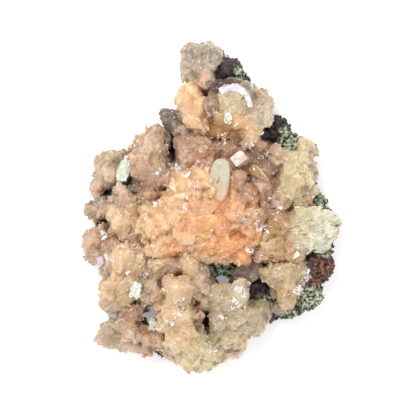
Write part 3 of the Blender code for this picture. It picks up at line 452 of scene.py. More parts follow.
        (-24.0, -21.8, 24.5, 3.4, 2.8, 100, "tan"), (-34.2, -33.2, 19.5, 3.4, 2.8, 30, "tan"),
        (-30.2, -22.8, 21.0, 12.0, 7.4, 92, "tan"), (-26.8, -28.2, 24.6, 4.2, 3.6, 82, "tan"),
    ]),
    "left_edge_sheaves": (5.0, [
        (-42.2, -12.0, 19.0, 4.6, 3.6, 80, "tan"), (-38.6, -10.8, 18.5, 3.4, 2.6, 80, "rose"),
        (-41.2, -15.8, 17.5, 3.4, 2.8, 130, "tan"), (-37.6, -17.3, 17.2, 4.0, 3.2, 15, "rose"),
        (-40.6, -13.2, 13.2, 6.0, 4.6, 100, "tan"),
    ]),
    "middle_lower_sheaves": (8.5, [
        (-18.4, -20.2, 27.0, 4.9, 4.2, 30, "sand"), (-13.2, -20.6, 26.0, 3.8, 3.6, 0, "rose"),
        (-7.8, -20.2, 28.0, 4.8, 4.0, 20, "sand"), (-20.6, -29.4, 28.0, 5.2, 4.3, 82, "tan"),
        (-18.6, -35.8, 24.0, 3.6, 2.5, 95, "tan"), (-2.0, -29.4, 28.0, 5.8, 4.2, 105, "tan"),
        (-3.6, -23.2, 25.0, 3.8, 2.8, 70, "khaki"), (-19.6, -24.8, 24.0, 3.2, 3.0, 90, "tan"),
        (-13.4, -20.6, 21.0, 10.5, 5.6, 2, "tan"), (-20.4, -29.8, 21.0, 9.4, 5.6, 84, "tan"),
        (-3.2, -28.8, 20.5, 9.0, 5.6, 98, "brown"),
    ]),
    "bottom_left_sheaves": (5.5, [
        (-29.2, -46.0, 22.0, 4.8, 4.3, 80, "tan"), (-34.9, -45.4, 19.0, 4.4, 3.9, 95, "khaki"),
        (-22.4, -48.0, 21.0, 4.9, 4.4, 60, "brown"), (-18.0, -47.6, 20.5, 4.2, 3.5, 70, "tan"),
        (-28.2, -38.6, 20.0, 5.4, 3.6, 40, "brown"), (-31.6, -40.8, 18.0, 3.4, 3.0, 90, "grey"),
        (-27.4, -46.6, 16.0, 12.0, 5.6, -4, "tan"), (-20.4, -43.4, 18.0, 3.6, 2.8, 80, "rose"),
        (-33.8, -38.4, 14.8, 4.4, 3.2, -60, "smoke"),
    ]),
}
print("groups:", len(SHEAVES), "sheaves:", sum(len(rows) for _, rows in SHEAVES.values()))

# %% [markdown]
# ## A sheaf's own axes
#
# Each sheaf has a level length, a width across it, and a rounded head above its widest part.
# Below that it draws in to its root in the rock. These vectors carry everything that follows.

# %% Axes for every sheaf
RISE_FOR_WIDTH = 1.35      # height of the rounded head, for the larger half size
LEAST_NECK = 2.0           # mm from the root up to the widest part
Axes = namedtuple("Axes", "centre along across up drop tint")


def sheaf_axes(row, root):
    """The middle, half length, half width, head and neck of a sheaf, as vectors in millimetres."""
    sheaf = Sheaf(*row)
    turn = math.radians(sheaf.turn)
    rise = min(RISE_FOR_WIDTH * max(sheaf.long, sheaf.wide), sheaf.top - root - LEAST_NECK)
    middle = sheaf.top - rise
    way = np.array([math.cos(turn), math.sin(turn), 0.1 * math.sin(sheaf.x + sheaf.y)])
    side = np.array([-math.sin(turn), math.cos(turn), 0.0])
    upright = np.array([0.0, 0.0, 1.0])
    return Axes(np.array([sheaf.x, sheaf.y, middle]), way * sheaf.long, side * sheaf.wide,
                upright * rise, upright * (middle - root), TINT[sheaf.tint])


GROUPS = {name: [sheaf_axes(row, root) for row in rows] for name, (root, rows) in SHEAVES.items()}
ALL_SHEAVES = [axes for group in GROUPS.values() for axes in group]
print("tallest:", max(axes.centre[2] + axes.up[2] for axes in ALL_SHEAVES), "mm")

# %% [markdown]
# ## A group's body
#
# The sheaves of a group grew into one another, so there is one continuous body with a lump for
# each. Every lump is an egg shape on the sheaf's axes. A head also carries smaller lumps, for
# the sheaves that branched off, and they lean the way they stand out.

# %% Eggs and branches
HEAD_ARC = 210             # degrees round a head, over its top, on which branches stand


def unit_ball(detail):
    """Points and triangles of a ball of radius 1, divided evenly."""
    bm = bmesh.new()
    bmesh.ops.create_icosphere(bm, subdivisions=detail, radius=1.0)
    points = np.array([vert.co for vert in bm.verts])
    faces = np.array([[vert.index for vert in face.verts] for face in bm.faces])
    bm.free()
    return points, faces


BALL, BALL_FACES = unit_ball(2)
print("points of an egg:", len(BALL))


def egg(axes):
    """centre + along*x + across*y + up*z over the unit ball, with drop in place of up below."""
    x, y, z = BALL.T[..., None]
    return axes.centre + axes.along * x + axes.across * y + np.where(z > 0, axes.up, axes.drop) * z


def branches(parent, count, size):
    """Smaller sheaves on a head: at a share s along and an angle p, leaning the way they stand out."""
    for i in range(count):
        s = rng.uniform(-0.85, 0.85)
        p = math.radians((i + rng.uniform(0.1, 0.9)) / count * HEAD_ARC - HEAD_ARC / 2)
        high = parent.up if math.cos(p) > 0 else -parent.drop * 0.5
        out = parent.across * math.sin(p) + high * abs(math.cos(p))
        place = parent.along * s + out * math.sqrt(1 - s * s)
        lean = place / np.linalg.norm(place)
        along = parent.along + parent.across * rng.uniform(-0.8, 0.8)
        along = along - lean * (along @ lean)
        along /= np.linalg.norm(along)
        scale = size * rng.uniform(0.7, 1.25)
        reach = (np.linalg.norm(parent.along) + np.linalg.norm(parent.across)) / 2 * scale
        yield Axes(parent.centre + place * 0.72, along * reach * 1.2, np.cross(lean, along) * reach,
                   lean * reach * 0.75, lean * reach, parent.tint * rng.uniform(0.88, 1.1))


def grown(axes, by):
    """The same sheaf with every half size longer by so many millimetres."""
    longer = [axis * (1 + by / np.linalg.norm(axis)) for axis in axes[1:5]]
    return Axes(axes.centre, *longer, axes.tint)


# %% [markdown]
# ## Openings
#
# In two places one looks between the crystals and through the rock, down to the tabletop. An
# upright post is cut out of the skins there, so that no crystal bridges the opening.

# %% Posts for the openings
Gap = namedtuple("Gap", "x y long wide turn")                # mm, and degrees
GAPS = [Gap(5.0, -26.0, 2.8, 2.0, -10.0), Gap(-21.4, -38.4, 4.6, 3.0, 68.0)]
GAP_FROM, GAP_TO = -5.0, 45.0                                # mm in height
GAP_SIDES = 24


def turned(turn, pitch, roll):
    """The matrix that rolls about X, then pitches X up, then turns about Z, in degrees."""
    t, p, r = np.radians([turn, pitch, roll])
    about_z = [[np.cos(t), -np.sin(t), 0], [np.sin(t), np.cos(t), 0], [0, 0, 1]]
    about_y = [[np.cos(p), 0, -np.sin(p)], [0, 1, 0], [np.sin(p), 0, np.cos(p)]]
    about_x = [[1, 0, 0], [0, np.cos(r), -np.sin(r)], [0, np.sin(r), np.cos(r)]]
    return np.array(about_z) @ np.array(about_y) @ np.array(about_x)


def gap_posts(shrink):
    """An upright elliptical post in each gap: (half length*cos t, half width*sin t), less shrink."""
    around = np.arange(GAP_SIDES) / GAP_SIDES * 2 * math.pi
    points, sides, ends = [], [], []
    for i, gap in enumerate(GAPS):
        rim = np.stack([(gap.long - shrink) * np.cos(around), (gap.wide - shrink) * np.sin(around),
                        np.zeros(GAP_SIDES)], axis=1) @ turned(gap.turn, 0, 0).T
        rim = rim[:, :2] + [gap.x, gap.y]
        points += [np.column_stack([rim, np.full(GAP_SIDES, z)]) for z in (GAP_FROM, GAP_TO)]
        low = np.arange(GAP_SIDES) + 2 * GAP_SIDES * i
        ahead = np.roll(low, -1)
        sides += np.stack([low, ahead, ahead + GAP_SIDES, low + GAP_SIDES], axis=1).tolist()
        ends += [low[::-1].tolist(), (low + GAP_SIDES).tolist()]
    mesh = bpy.data.meshes.new("posts")
    mesh.from_pydata(np.concatenate(points) * MM, [], sides + ends)
    obj = bpy.data.objects.new("posts", mesh)
    bpy.context.scene.collection.objects.link(obj)
    return obj


print("openings:", len(GAPS))

# %% [markdown]
# ## One skin for a group
#
# A voxel remesh joins all eggs of a group into one closed skin. On the real piece small crystals
# fill the creases. Growing the eggs first and drawing the skin in again afterwards does the
# same: a crease narrower than twice the growth closes, and the lumps keep their size.

# %% Joining the eggs
POST_SLACK = 1.5           # mm, the most that the skin's growth narrows a post
LIFTING = 12               # more rounds of smoothing, which show where the creases are


def from_mesh(obj):
    """Points in mm, normals and faces, all of one size, of an object with its modifiers applied."""
    graph = bpy.context.evaluated_depsgraph_get()
    mesh = bpy.data.meshes.new_from_object(obj.evaluated_get(graph))
    points = np.empty(len(mesh.vertices) * 3, np.float32)
    mesh.vertices.foreach_get("co", points)
    normals = np.empty(len(mesh.vertices) * 3, np.float32)
    mesh.vertex_normals.foreach_get("vector", normals)
    corners = np.empty(len(mesh.loops), np.int32)
    mesh.loops.foreach_get("vertex_index", corners)
    size = len(mesh.loops) // len(mesh.polygons)
    bpy.data.meshes.remove(mesh)
    return (points.reshape(-1, 3).astype(float) / MM, normals.reshape(-1, 3).astype(float),
            corners.reshape(-1, size))


def skin(eggs, voxel, smoothing, closing):
    """The eggs joined by a voxel remesh, and the same skin smoothed: points, normals, faces, hollow.

    The eggs are grown by the closing and the skin is drawn in by as much, which leaves the lumps
    their size and fills the creases. The hollow is how far heavy smoothing would lift a point:
    above 0 in a crease."""
    eggs = [grown(one, closing) for one in eggs]
    points = np.concatenate([egg(one) for one in eggs])
    faces = np.concatenate([BALL_FACES + i * len(BALL) for i in range(len(eggs))])
    mesh = bpy.data.meshes.new("eggs")
    mesh.from_pydata(points * MM, [], faces)
    obj = bpy.data.objects.new("eggs", mesh)
    bpy.context.scene.collection.objects.link(obj)
    posts = gap_posts(min(closing, POST_SLACK))
    for step in ("joined", "cut"):
        remesh = obj.modifiers.new(step, "REMESH")
        remesh.mode = "VOXEL"
        remesh.voxel_size = voxel * MM
        if step == "joined":
            cut = obj.modifiers.new("gaps", "BOOLEAN")
            cut.object = posts
            cut.operation = "DIFFERENCE"
    smooth = obj.modifiers.new("smooth", "SMOOTH")
    smooth.factor = 0.5
    smooth.iterations = smoothing
    points, normals, faces = from_mesh(obj)
    smooth.iterations = smoothing + LIFTING
    lifted, _, _ = from_mesh(obj)
    bpy.data.objects.remove(obj)
    bpy.data.objects.remove(posts)
    hollow = ((lifted - points) * normals).sum(axis=1)
    return points - normals * closing, normals, faces, hollow


print("points of a coarse skin on one sheaf:", len(skin(ALL_SHEAVES[:1], 1.0, 2, 0.5)[0]))

# %% [markdown]
# ## Tint
#
# A point of the skin belongs to the sheaves that it is nearest to. Their tints are blended, so
# one lump passes softly into the next, and the nearest one says which way the blades run.

# %% Which sheaf a point belongs to


def depth_in(points, axes):
    """0 at a sheaf's middle and 1 on its surface: the root of a^2 + b^2 + h^2."""
    away = points - axes.centre
    a = away @ axes.along / (axes.along @ axes.along)
    b = away @ axes.across / (axes.across @ axes.across)
    upright = axes.up / np.linalg.norm(axes.up)
    h = away @ upright
    h = h / np.where(h > 0, np.linalg.norm(axes.up), np.linalg.norm(axes.drop))
    return np.sqrt(a * a + b * b + h * h)


def belonging(points, sheaves, softness=0.12):
    """Blended tint and the nearest sheaf's length direction. The weight falls by e each softness."""
    depths = np.stack([depth_in(points, axes) for axes in sheaves], axis=1)
    weights = np.exp(-(depths - depths.min(axis=1, keepdims=True)) / softness)
    weights /= weights.sum(axis=1, keepdims=True)
    tints = weights @ np.array([axes.tint for axes in sheaves])
    ways = np.array([axes.along / np.linalg.norm(axes.along) for axes in sheaves])
    return tints, ways[depths.argmin(axis=1)]


def least_depth(points, sheaves):
    """The smallest depth in any of the sheaves: under 1 inside one, and larger further away."""
    least = np.full(len(points), np.inf)
    for axes in sheaves:
        least = np.minimum(least, depth_in(points, axes))
    return least


CORNER = np.array([[0.0, 0.0, 0.0]])
print("depth of the origin below the nearest sheaf:", least_depth(CORNER, ALL_SHEAVES)[0])

# %% [markdown]
# ## Fans and clefts
#
# In some places the blades fan out from one spot past several sheaves, and a few clefts stay
# open between the sheaves down to the dark rock. Both are short lists, read off in millimetres.

# %% Fans and clefts
FLOW_ALONG, FLOW_ACROSS = 0.3, 1.6     # striation noise cells per mm along and across the blades
FAN_REACH = 9.0                        # mm from the focus at which a fan's angle is that flow
Fan = namedtuple("Fan", "x y turn spread near far")
FANS = [Fan(*row) for row in [         # focus, middle and half of the angles in degrees, radii in mm
    (22.5, -9.0, 4, 34, 5.5, 26), (14.0, -7.6, 32, 20, 4, 15), (2.0, -36.0, -30, 26, 6, 22),
    (-8.0, -43.0, -62, 38, 5, 18), (25.5, -18.0, -78, 34, 3, 20), (27.0, 3.0, 68, 32, 4, 20),
    (-3.0, 46.0, 62, 40, 4, 16), (4.0, 28.0, 40, 40, 6, 18), (-16.0, 8.0, 118, 26, 5, 24),
]]
CLEFTS = [                 # from x, y to x, y, half width in mm
    (-15.4, 30.5, -14.0, 24.0, 1.7), (-14.0, 24.0, -11.6, 16.0, 1.4), (0.2, -40.6, -0.6, -44.2, 1.5),
    (-11.0, -16.6, -11.6, -17.6, 1.1), (-17.6, -26.2, -17.2, -28.2, 0.9), (4.0, -25.4, 6.4, -26.4, 1.5),
    (-22.8, -40.4, -20.8, -36.8, 1.9), (-38.6, -5.4, -35.6, -5.8, 1.4), (-38.0, 6.0, -33.6, 5.4, 1.0),
    (-37.6, -25.0, -36.4, -24.2, 1.0), (10.4, 49.0, 6.0, 48.4, 1.2), (22.5, 24.5, 20.4, 28.0, 1.2),
]
print("fans:", len(FANS), "clefts:", len(CLEFTS))


def fan_flow(points, ways, flow):
    """Ways that run from a fan's focus within its angles, with the flow (radius, angle, its number)."""
    ways, flow = ways.copy(), flow.copy()
    inside = np.zeros(len(points), bool)
    for i, fan in enumerate(FANS):
        from_focus = points[:, :2] - (fan.x, fan.y)
        radius = np.hypot(*from_focus.T) + 1e-6
        angle = np.arctan2(from_focus[:, 1], from_focus[:, 0]) - math.radians(fan.turn)
        angle = (angle + math.pi) % (2 * math.pi) - math.pi
        here = (np.abs(angle) < math.radians(fan.spread)) & (radius > fan.near) & (radius < fan.far)
        ways[here] = np.stack([from_focus[here, 0] / radius[here], from_focus[here, 1] / radius[here],
                               np.zeros(here.sum())], axis=1)
        flow[here] = np.stack([radius[here] * FLOW_ALONG, angle[here] * FAN_REACH * FLOW_ACROSS,
                               np.full(here.sum(), 7.0 * i)], axis=1)
        inside |= here
    return ways, flow, inside


def in_cleft(points):
    """How near each point is in plan to a cleft: exp(-(distance / half width)^2), the largest."""
    share = np.zeros(len(points))
    for x0, y0, x1, y1, half in CLEFTS:
        start, way = np.array([x0, y0]), np.array([x1 - x0, y1 - y0])
        along = np.clip(((points[:, :2] - start) @ way) / (way @ way), 0, 1)
        away = np.linalg.norm(points[:, :2] - start - along[:, None] * way, axis=1)
        share = np.maximum(share, np.exp(-(away / half) ** 2))
    return share


# %% [markdown]
# ## Milk and smoke
#
# Some parts of a sheaf are milky and others smoky, in soft clouds a few millimetres wide. In a
# crease the colour is made deeper as painted shade, and on a crest a little paler as a painted
# lighter tone. Where groups meet and along the clefts, smoke is mixed in as painted shade.

# %% Clouds and painted shade in the tint
CLOUD, DUSK = linear("F0E2D0"), linear("967A68")
CLOUD_SIZE, CLOUD_FROM = 6.0, 0.1      # mm, and how far the noise is from 0 where a cloud begins
# CREASE_SHADE_POWER darkens the tint in the creases: painted shade.
CREASE_SHADE_POWER = 0.45                          # what a full crease adds to the power of the tint


def clouded_and_shaded(points, tints, dusk, meeting_shade, crease):
    """Tints mixed with milk where a noise is high, and with smoke where it is low or groups meet. The
    smoke where groups meet is painted shade.

    In a crease the tint is raised to a higher power, as painted shade, and on a crest to a lower
    one, as a painted lighter tone."""
    cloud = fractal(points, CLOUD_SIZE, 101, 3)[:, None]
    milky = 0.7 * np.clip(cloud - CLOUD_FROM, 0, 0.6)
    smoky = dusk * (1.1 * np.clip(-CLOUD_FROM - cloud, 0, 0.5) + 0.4 * meeting_shade[:, None])
    milky = milky * (1 - smoky)
    mixed = tints * (1 - milky - smoky) + CLOUD * milky + DUSK * smoky
    # The power paints shade into the creases and a lighter tone onto the crests.
    return np.clip(mixed, 0.01, 1) ** (1 + CREASE_SHADE_POWER * crease[:, None])


white = np.ones((1, 3))
print("a white tint in full smoke:", clouded_and_shaded(CORNER, white, 1.0, np.ones(1), np.zeros(1))[0])

# %% [markdown]
# ## Blade tips
#
# What shows of a blade is its tip: a flat prism with a roof-shaped end that stands a little out
# of the skin. It takes 26 triangles, few enough for thousands of blades.

# %% Blade tips
TIP_ALONG = np.array([-1.0, -0.78, 0.08, 0.78, 1.0])
TIP_OUT = np.array([0.0, 0.84, 1.0, 0.84, 0.0])
SHOULDER_OUT, SHOULDER_IN = 0.14, 0.05         # how far the shoulders are drawn in from the rim
STEPS = len(TIP_ALONG)
TIP_POINTS = 3 * STEPS     # a rim and two shoulders


def tip_faces():
    """One tip's faces: two strips of quads along the rim, a base, two ends and two flat sides."""
    ridge, left, right = np.arange(STEPS), np.arange(STEPS) + STEPS, np.arange(STEPS) + 2 * STEPS
    near, far = slice(0, STEPS - 1), slice(1, STEPS)
    strips = [np.stack([ridge[near], left[near], left[far], ridge[far]], axis=1),
              np.stack([ridge[far], right[far], right[near], ridge[near]], axis=1)]
    base = [[left[0], right[0], right[-1], left[-1]]]
    ends = [[ridge[0], right[0], left[0]], [ridge[-1], left[-1], right[-1]]]
    return [np.concatenate([*strips, base]), np.array(ends), np.array([left[::-1], right])]


def tips(centre, along, out, half):
    """Closed blade tips. The rim is centre + along*s + out*r; the shoulders are drawn in to 0.86 of r
    and lie half the thickness to either side."""
    rim = centre[:, None] + along[:, None] * TIP_ALONG[:, None] + out[:, None] * TIP_OUT[:, None]
    drawn = (rim - out[:, None] * TIP_OUT[:, None] * SHOULDER_OUT
             - along[:, None] * TIP_ALONG[:, None] * SHOULDER_IN)
    points = np.concatenate([rim, drawn + half[:, None], drawn - half[:, None]], axis=1)
    first = np.arange(len(rim))[:, None, None] * TIP_POINTS
    return points.reshape(-1, 3), [(rows + first).reshape(-1, rows.shape[1]) for rows in tip_faces()]


print("a tip's triangles:", sum(len(rows) * (rows.shape[1] - 2) for rows in tip_faces()))

# %% [markdown]
# ## Blades on a skin
#
# Neighbouring blades lie parallel in small packets, and each packet is turned a little from the
# next, which gives the sparkle. So the direction of a blade comes from its sheaf, its packet,
# and a little chance of its own.

# %% Setting blades on a skin
SUNK = 0.6                 # mm that a blade reaches under the skin
PACKET = 1.7               # mm across a packet of parallel blades
LEAN, TILT = (0.45, 0.15), (0.35, 0.1)         # a packet's and a blade's own, for 1 outwards or along


def grain(points, normals, ways, number, disorder):
    """Unit vectors along and across the blades: the sheaf's way laid on the skin and turned.

    The turn is by a packet's own number and a slow drift, both times the disorder."""
    turn = disorder * (2.2 * (number - 0.5) + 0.5 * lattice(points / 6.0, 9))[:, None]
    flat = ways - normals * (ways * normals).sum(axis=1, keepdims=True)
    flat += 0.02 * rng.standard_normal(flat.shape)
    flat /= np.linalg.norm(flat, axis=1, keepdims=True)
    side = np.cross(normals, flat)
    return flat * np.cos(turn) + side * np.sin(turn), side * np.cos(turn) - flat * np.sin(turn)


def scattered(points, normals, way, across, long, thick, proud):
    """Blade tips on a skin, along its grain, each leaning and tilted a little its own way."""
    count = len(points)
    cell = np.floor(points / PACKET)
    lean = LEAN[0] * lattice(cell * 5.77, 31)[:, None] + LEAN[1] * rng.standard_normal((count, 1))
    out = normals + across * lean
    tilt = TILT[0] * lattice(cell * 3.19, 47)[:, None] + TILT[1] * rng.standard_normal((count, 1))
    length = long * rng.uniform(0.6, 1.4, (count, 1))
    height = SUNK + proud * rng.uniform(0.3, 1.7, (count, 1))
    half = across * thick * rng.uniform(0.6, 1.4, (count, 1))
    return tips(points - out * SUNK, (way + normals * tilt) * length, out * height, half)


print("a blade reaches", SUNK, "mm under the skin, in packets of", PACKET, "mm")

# %% [markdown]
# ## The orange druse
#
# The middle isn't made of large balls: it is sugary, a crust of hundreds of small crystal
# bundles on low mounds. A sunflower spiral spreads their places evenly, chance moves each a
# little, and each bundle sits on the mounds' surface.

# %% Small bundles for the druse
DRUSE_MIDDLE = (-3.0, -3.2)
DRUSE_SPREAD = (24.0, 18.0)
DRUSE_COUNT = 560
DRUSE_LEAST = 22.0         # mm in height, below which a bundle would be hidden
GOLDEN_ANGLE = math.radians(137.508)


def height_at(x, y, sheaves):
    """The highest sheaf at each place: centre + along*a + up*sqrt(1 - a^2 - b^2), 0 past the rim."""
    best = np.zeros(len(x))
    for axes in sheaves:
        dx, dy = x - axes.centre[0], y - axes.centre[1]
        a = (dx * axes.along[0] + dy * axes.along[1]) / (axes.along @ axes.along)
        b = (dx * axes.across[0] + dy * axes.across[1]) / (axes.across @ axes.across)
        inside = 1 - a * a - b * b
        top = axes.centre[2] + axes.up[2] * np.sqrt(np.maximum(inside, 0)) + axes.along[2] * a
        best = np.maximum(best, np.where(inside > 0, top, 0))
    return best


def druse_bundles(mounds):
    """The nth bundle lies at radius sqrt(n / count) and n golden angles, on the mounds."""
    n = np.arange(DRUSE_COUNT)
    radius, angle = np.sqrt((n + 0.5) / DRUSE_COUNT), n * GOLDEN_ANGLE
    x = DRUSE_MIDDLE[0] + DRUSE_SPREAD[0] * radius * np.cos(angle) + rng.normal(0, 0.45, len(n))
    y = DRUSE_MIDDLE[1] + DRUSE_SPREAD[1] * radius * np.sin(angle) + rng.normal(0, 0.45, len(n))
    z = height_at(x, y, mounds)
    spots = np.stack([x, y, z], axis=1)[z > DRUSE_LEAST]
    tints, _ = belonging(spots, mounds, 0.3)
    for spot, tint in zip(spots, tints):
        size = rng.uniform(0.8, 1.8)
        turn, lean = rng.uniform(0, math.pi), rng.normal(0, 0.3, 2)
        upright = np.array([*lean, 1.0]) / np.linalg.norm([*lean, 1.0])
        along = np.cross(upright, [math.sin(turn), -math.cos(turn), 0.0])
        along /= np.linalg.norm(along)
        across = np.cross(upright, along)
        drop = spot - upright * size * 0.35
        yield Axes(drop, along * size * rng.uniform(1.0, 1.4), across * size, upright * size * 1.2,
                   upright * size * 1.6, np.clip(tint * rng.uniform(0.82, 1.16), 0, 1))


print("places for druse bundles:", DRUSE_COUNT)

# %% [markdown]
# ## A group's habit
#
# The groups differ in how craggy they are, how smoky, and how long and how parallel their blades
# are. One usual style and a few of its own for the groups that stand out say this in numbers.

# %% Styles and relief
SWELL = 0.1                # mm that a skin stands out past its eggs, to meet its neighbours

# How craggy the packets are, how smoky the group is and how dark its painted shade is where groups
# meet, how far its blades stray from the sheaf's length, the blades' half length and share of the
# skin, and how often the skin is smoothed.
Style = namedtuple("Style", "craggy dusk disorder long share smooth")
USUAL = Style(0.8, 1.0, 1.0, 0.5, 0.2, 6)
STYLES = {
    "orange_druse": Style(0.6, 0.1, 1.0, 0.35, 0.2, 3),
    "orange_wedge": Style(0.45, 0.1, 0.25, 1.0, 0.14, 9),
    "bottom_pillar": Style(0.6, 0.5, 0.35, 0.8, 0.2, 8),
    "bottom_right_sheaves": Style(0.7, 0.8, 0.5, 0.8, 0.2, 7),
    "right_fan": Style(0.65, 0.6, 0.3, 1.1, 0.2, 7),
    "lower_right_fan": Style(0.65, 0.7, 0.5, 0.7, 0.2, 7),
    "summit_sheaves": Style(0.65, 1.0, 0.4, 0.8, 0.2, 7),
    "upper_right_sheaves": Style(0.65, 0.8, 0.6, 0.6, 0.2, 7),
}


def uneven(points, craggy):
    """How far the skin moves out: lumps of 6 mm, packets of crystals of 6.5, 3.4 and 1.5 mm at their
    own tilts, and a grain of 1 mm. Also how near a packet's border is, and the packet's number."""
    large, border, number = packets(points, 3.4, 21)
    small, inner_border, _ = packets(points, 1.5, 41)
    moved = (SWELL + 0.5 * fractal(points, 6.0, 3, 2) + 0.42 * packets(points, 6.5, 61)[0]
             + craggy * (0.36 * large + 0.22 * small + 0.1 * fractal(points, 0.9, 8, 2)))
    near = np.maximum(1 - border / 0.12, 0.6 * (1 - inner_border / 0.16))
    return moved, np.clip(near, 0, 1), number


print("groups with a style of their own:", len(STYLES))

# %% [markdown]
# ## Dressing a skin
#
# A skin gets its relief and its clefts, its tint, and blade tips on a share of its points. Tips
# that would lie inside a neighbour, low on the rock or on an underside are left out. In the
# creases a few stand tall, because small crystals grow in the shelter there.

# %% Relief, tint and blades together
THICK = 0.12               # mm, half the thickness of a usual blade
LOW = 0.1                  # mm that a usual blade stands out of the skin
TALL = 0.5                 # mm that a sheltered crystal stands out of a crease
TALL_LONG, TALL_THICK = 0.6, 1.3       # its half length in mm, and its thickness for a usual one's
TALL_SHARE = 0.06          # share of a crease's points that carry one
CREASE, FULL_CREASE = 0.12, 0.5        # mm that heavy smoothing lifts a shallow and a full crease
STREWN = 0.2               # mm that chance moves a blade from its point
UNDERSIDE = -0.6           # a skin that faces down more than this is bare
FANNED_LONGER = 1.3        # how much longer a blade in a fan is
CLEFT_DEPTH = 1.3          # mm that both sides of a cleft draw back
CLEAR_OF = 0.97            # depth in a neighbour's sheaves past which a point is in the open
LOWEST_BLADE = 6.0         # mm in height


def dressed(points, normals, faces, hollow, sheaves, others, style):
    """A skin and its blades, each as points, faces and attributes.

    A skin gets painted shade where it meets another group, along the clefts and in its creases.
    Blades are left out where they'd be inside another group, and a few in the creases stand tall."""
    moved, near, number = uneven(points, style.craggy)
    cleft = in_cleft(points)
    points = points + normals * (moved - CLEFT_DEPTH * cleft)[:, None]
    apart = least_depth(points, others)
    # Painted shade where the skin meets another group and along the clefts.
    meeting_shade = np.maximum(np.clip(1 - (apart - CLEAR_OF) / 0.3, 0, 1), 2.0 * cleft)
    tints, ways = belonging(points, sheaves)
    # Painted shade in the creases and along the packets' borders, and a painted lighter tone on crests.
    dent = np.clip(hollow / FULL_CREASE, -0.4, 1)
    tints = clouded_and_shaded(points, tints, style.dusk, meeting_shade, np.clip(dent + 0.3 * near, -0.4, 1.2))
    way, across = grain(points, normals, ways, number, style.disorder)
    flow = np.stack([(points * way).sum(axis=1) * FLOW_ALONG,
                     (points * across).sum(axis=1) * FLOW_ACROSS, number * 40], axis=1)
    ways, flow, fanned = fan_flow(points, ways, flow)
    fan_way, fan_across = grain(points, normals, ways, number, 0.06)
    way = np.where(fanned[:, None], fan_way, way)
    across = np.where(fanned[:, None], fan_across, across)
    open_air = (apart > CLEAR_OF) & (points[:, 2] > LOWEST_BLADE) & (normals[:, 2] > UNDERSIDE)
    luck = rng.random(len(points))
    crease = (hollow > CREASE) & (fractal(points, 5.0, 63, 2) > 0.05)
    low = open_air & (luck < style.share)
    tall = open_air & crease & (luck > 1 - TALL_SHARE)
    chosen = np.concatenate([np.flatnonzero(low), np.flatnonzero(tall)])
    is_tall = np.arange(len(chosen)) >= low.sum()
    base = points[chosen] + STREWN * rng.standard_normal((len(chosen), 3))
    longer = np.where(fanned[chosen], FANNED_LONGER, 1) * style.long
    size = [np.where(is_tall, a, b)[:, None] for a, b in
            ((TALL_LONG, longer), (TALL_THICK * THICK, THICK), (TALL, LOW))]
    tip_points, tip_faces = scattered(base, normals[chosen], way[chosen], across[chosen], *size)
    # A tall blade's chance is 0.9 or more, so many of them get the painted near-white glint.
    chance = np.where(is_tall, 0.9 + 0.1 * rng.random(len(chosen)), rng.random(len(chosen)))
    pale = rng.uniform(0.92, 1.12, (len(chosen), 1))
    tip_tints = np.clip(tints[chosen] * pale, 0, 1)
    return ((points, [faces], {"tint": tints, "flow": flow}),
            (tip_points, tip_faces, {"tint": np.repeat(tip_tints, TIP_POINTS, axis=0),
                                     "chance": np.repeat(chance, TIP_POINTS)}))


print("a usual blade is", 2 * THICK, "mm thick")

# %% [markdown]
# ## The stellerite groups
#
# Each group's piece is its skin, in place of the solid, with its blades as a second piece. A bed
# of low crystals lies round every sheaf's foot, as on the real one, and closes the space to the
# next. The druse has small bundles in place of branches.

# %% Stellerite groups
SKIN_VOXEL, DRUSE_VOXEL = 0.65, 0.5    # mm
CLOSING, DRUSE_CLOSING = 1.3, 0.6      # mm, about the radius of the fill in a crease
BRANCHES, BRANCH_SIZE = 9, 0.36        # on each sheaf, and for the sheaf's own size
BED_PAST, BED_LOWER = 0.9, 0.75        # mm past a sheaf's rim, and share of its head's height
MOUND_DROP = 0.4           # share of the druse's mounds' necks that is kept, over the rock's dome


def bedded(sheaves):
    """The low crust of small crystals round each sheaf's foot, which fills the space to the next."""
    for axes in sheaves:
        long, wide = np.linalg.norm(axes.along), np.linalg.norm(axes.across)
        yield axes._replace(along=axes.along * (1 + BED_PAST / long), up=axes.up * BED_LOWER,
                            across=axes.across * (1 + BED_PAST / wide))


SKINS = []
for name, sheaves in GROUPS.items():
    others = [axes for other, group in GROUPS.items() if other != name for axes in group]
    style = STYLES.get(name, USUAL)
    if name == "orange_druse":
        lobes = sheaves + list(druse_bundles(sheaves))
        eggs = [axes._replace(drop=axes.drop * MOUND_DROP) for axes in sheaves]
        eggs += lobes[len(sheaves):]
        voxel, closing = DRUSE_VOXEL, DRUSE_CLOSING
    else:
        lobes = sheaves + [bud for axes in sheaves for bud in branches(axes, BRANCHES, BRANCH_SIZE)]
        eggs = lobes + list(bedded(sheaves))
        voxel, closing = SKIN_VOXEL, CLOSING
    body, blades = dressed(*skin(eggs, voxel, style.smooth, closing), lobes, others, style)
    SKINS.append(body[:2])
    obj = piece(name + "_crystals", *body, len(body[1][0]), SUGAR if "orange" in name else WAX)
    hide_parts(name)
    "orange_stellerite" if "orange" in name else "cream_stellerite"
    piece(name + "_blades", *blades, 0, BLADES)

# %% [markdown]
# ## The rock
#
# The basalt is dark and fine grained, and breaks with a craggy face. Its solid is coarse, so a
# copy is merged and remeshed evenly, and noise and tilted facets move its points along their
# normals. The flat back stays flat, and the two openings stay open.

# %% Rock surface
ROCK_VOXEL = 0.7           # mm
ROCK_OPEN = 1.1            # share of an opening's half sizes that stays free of rock


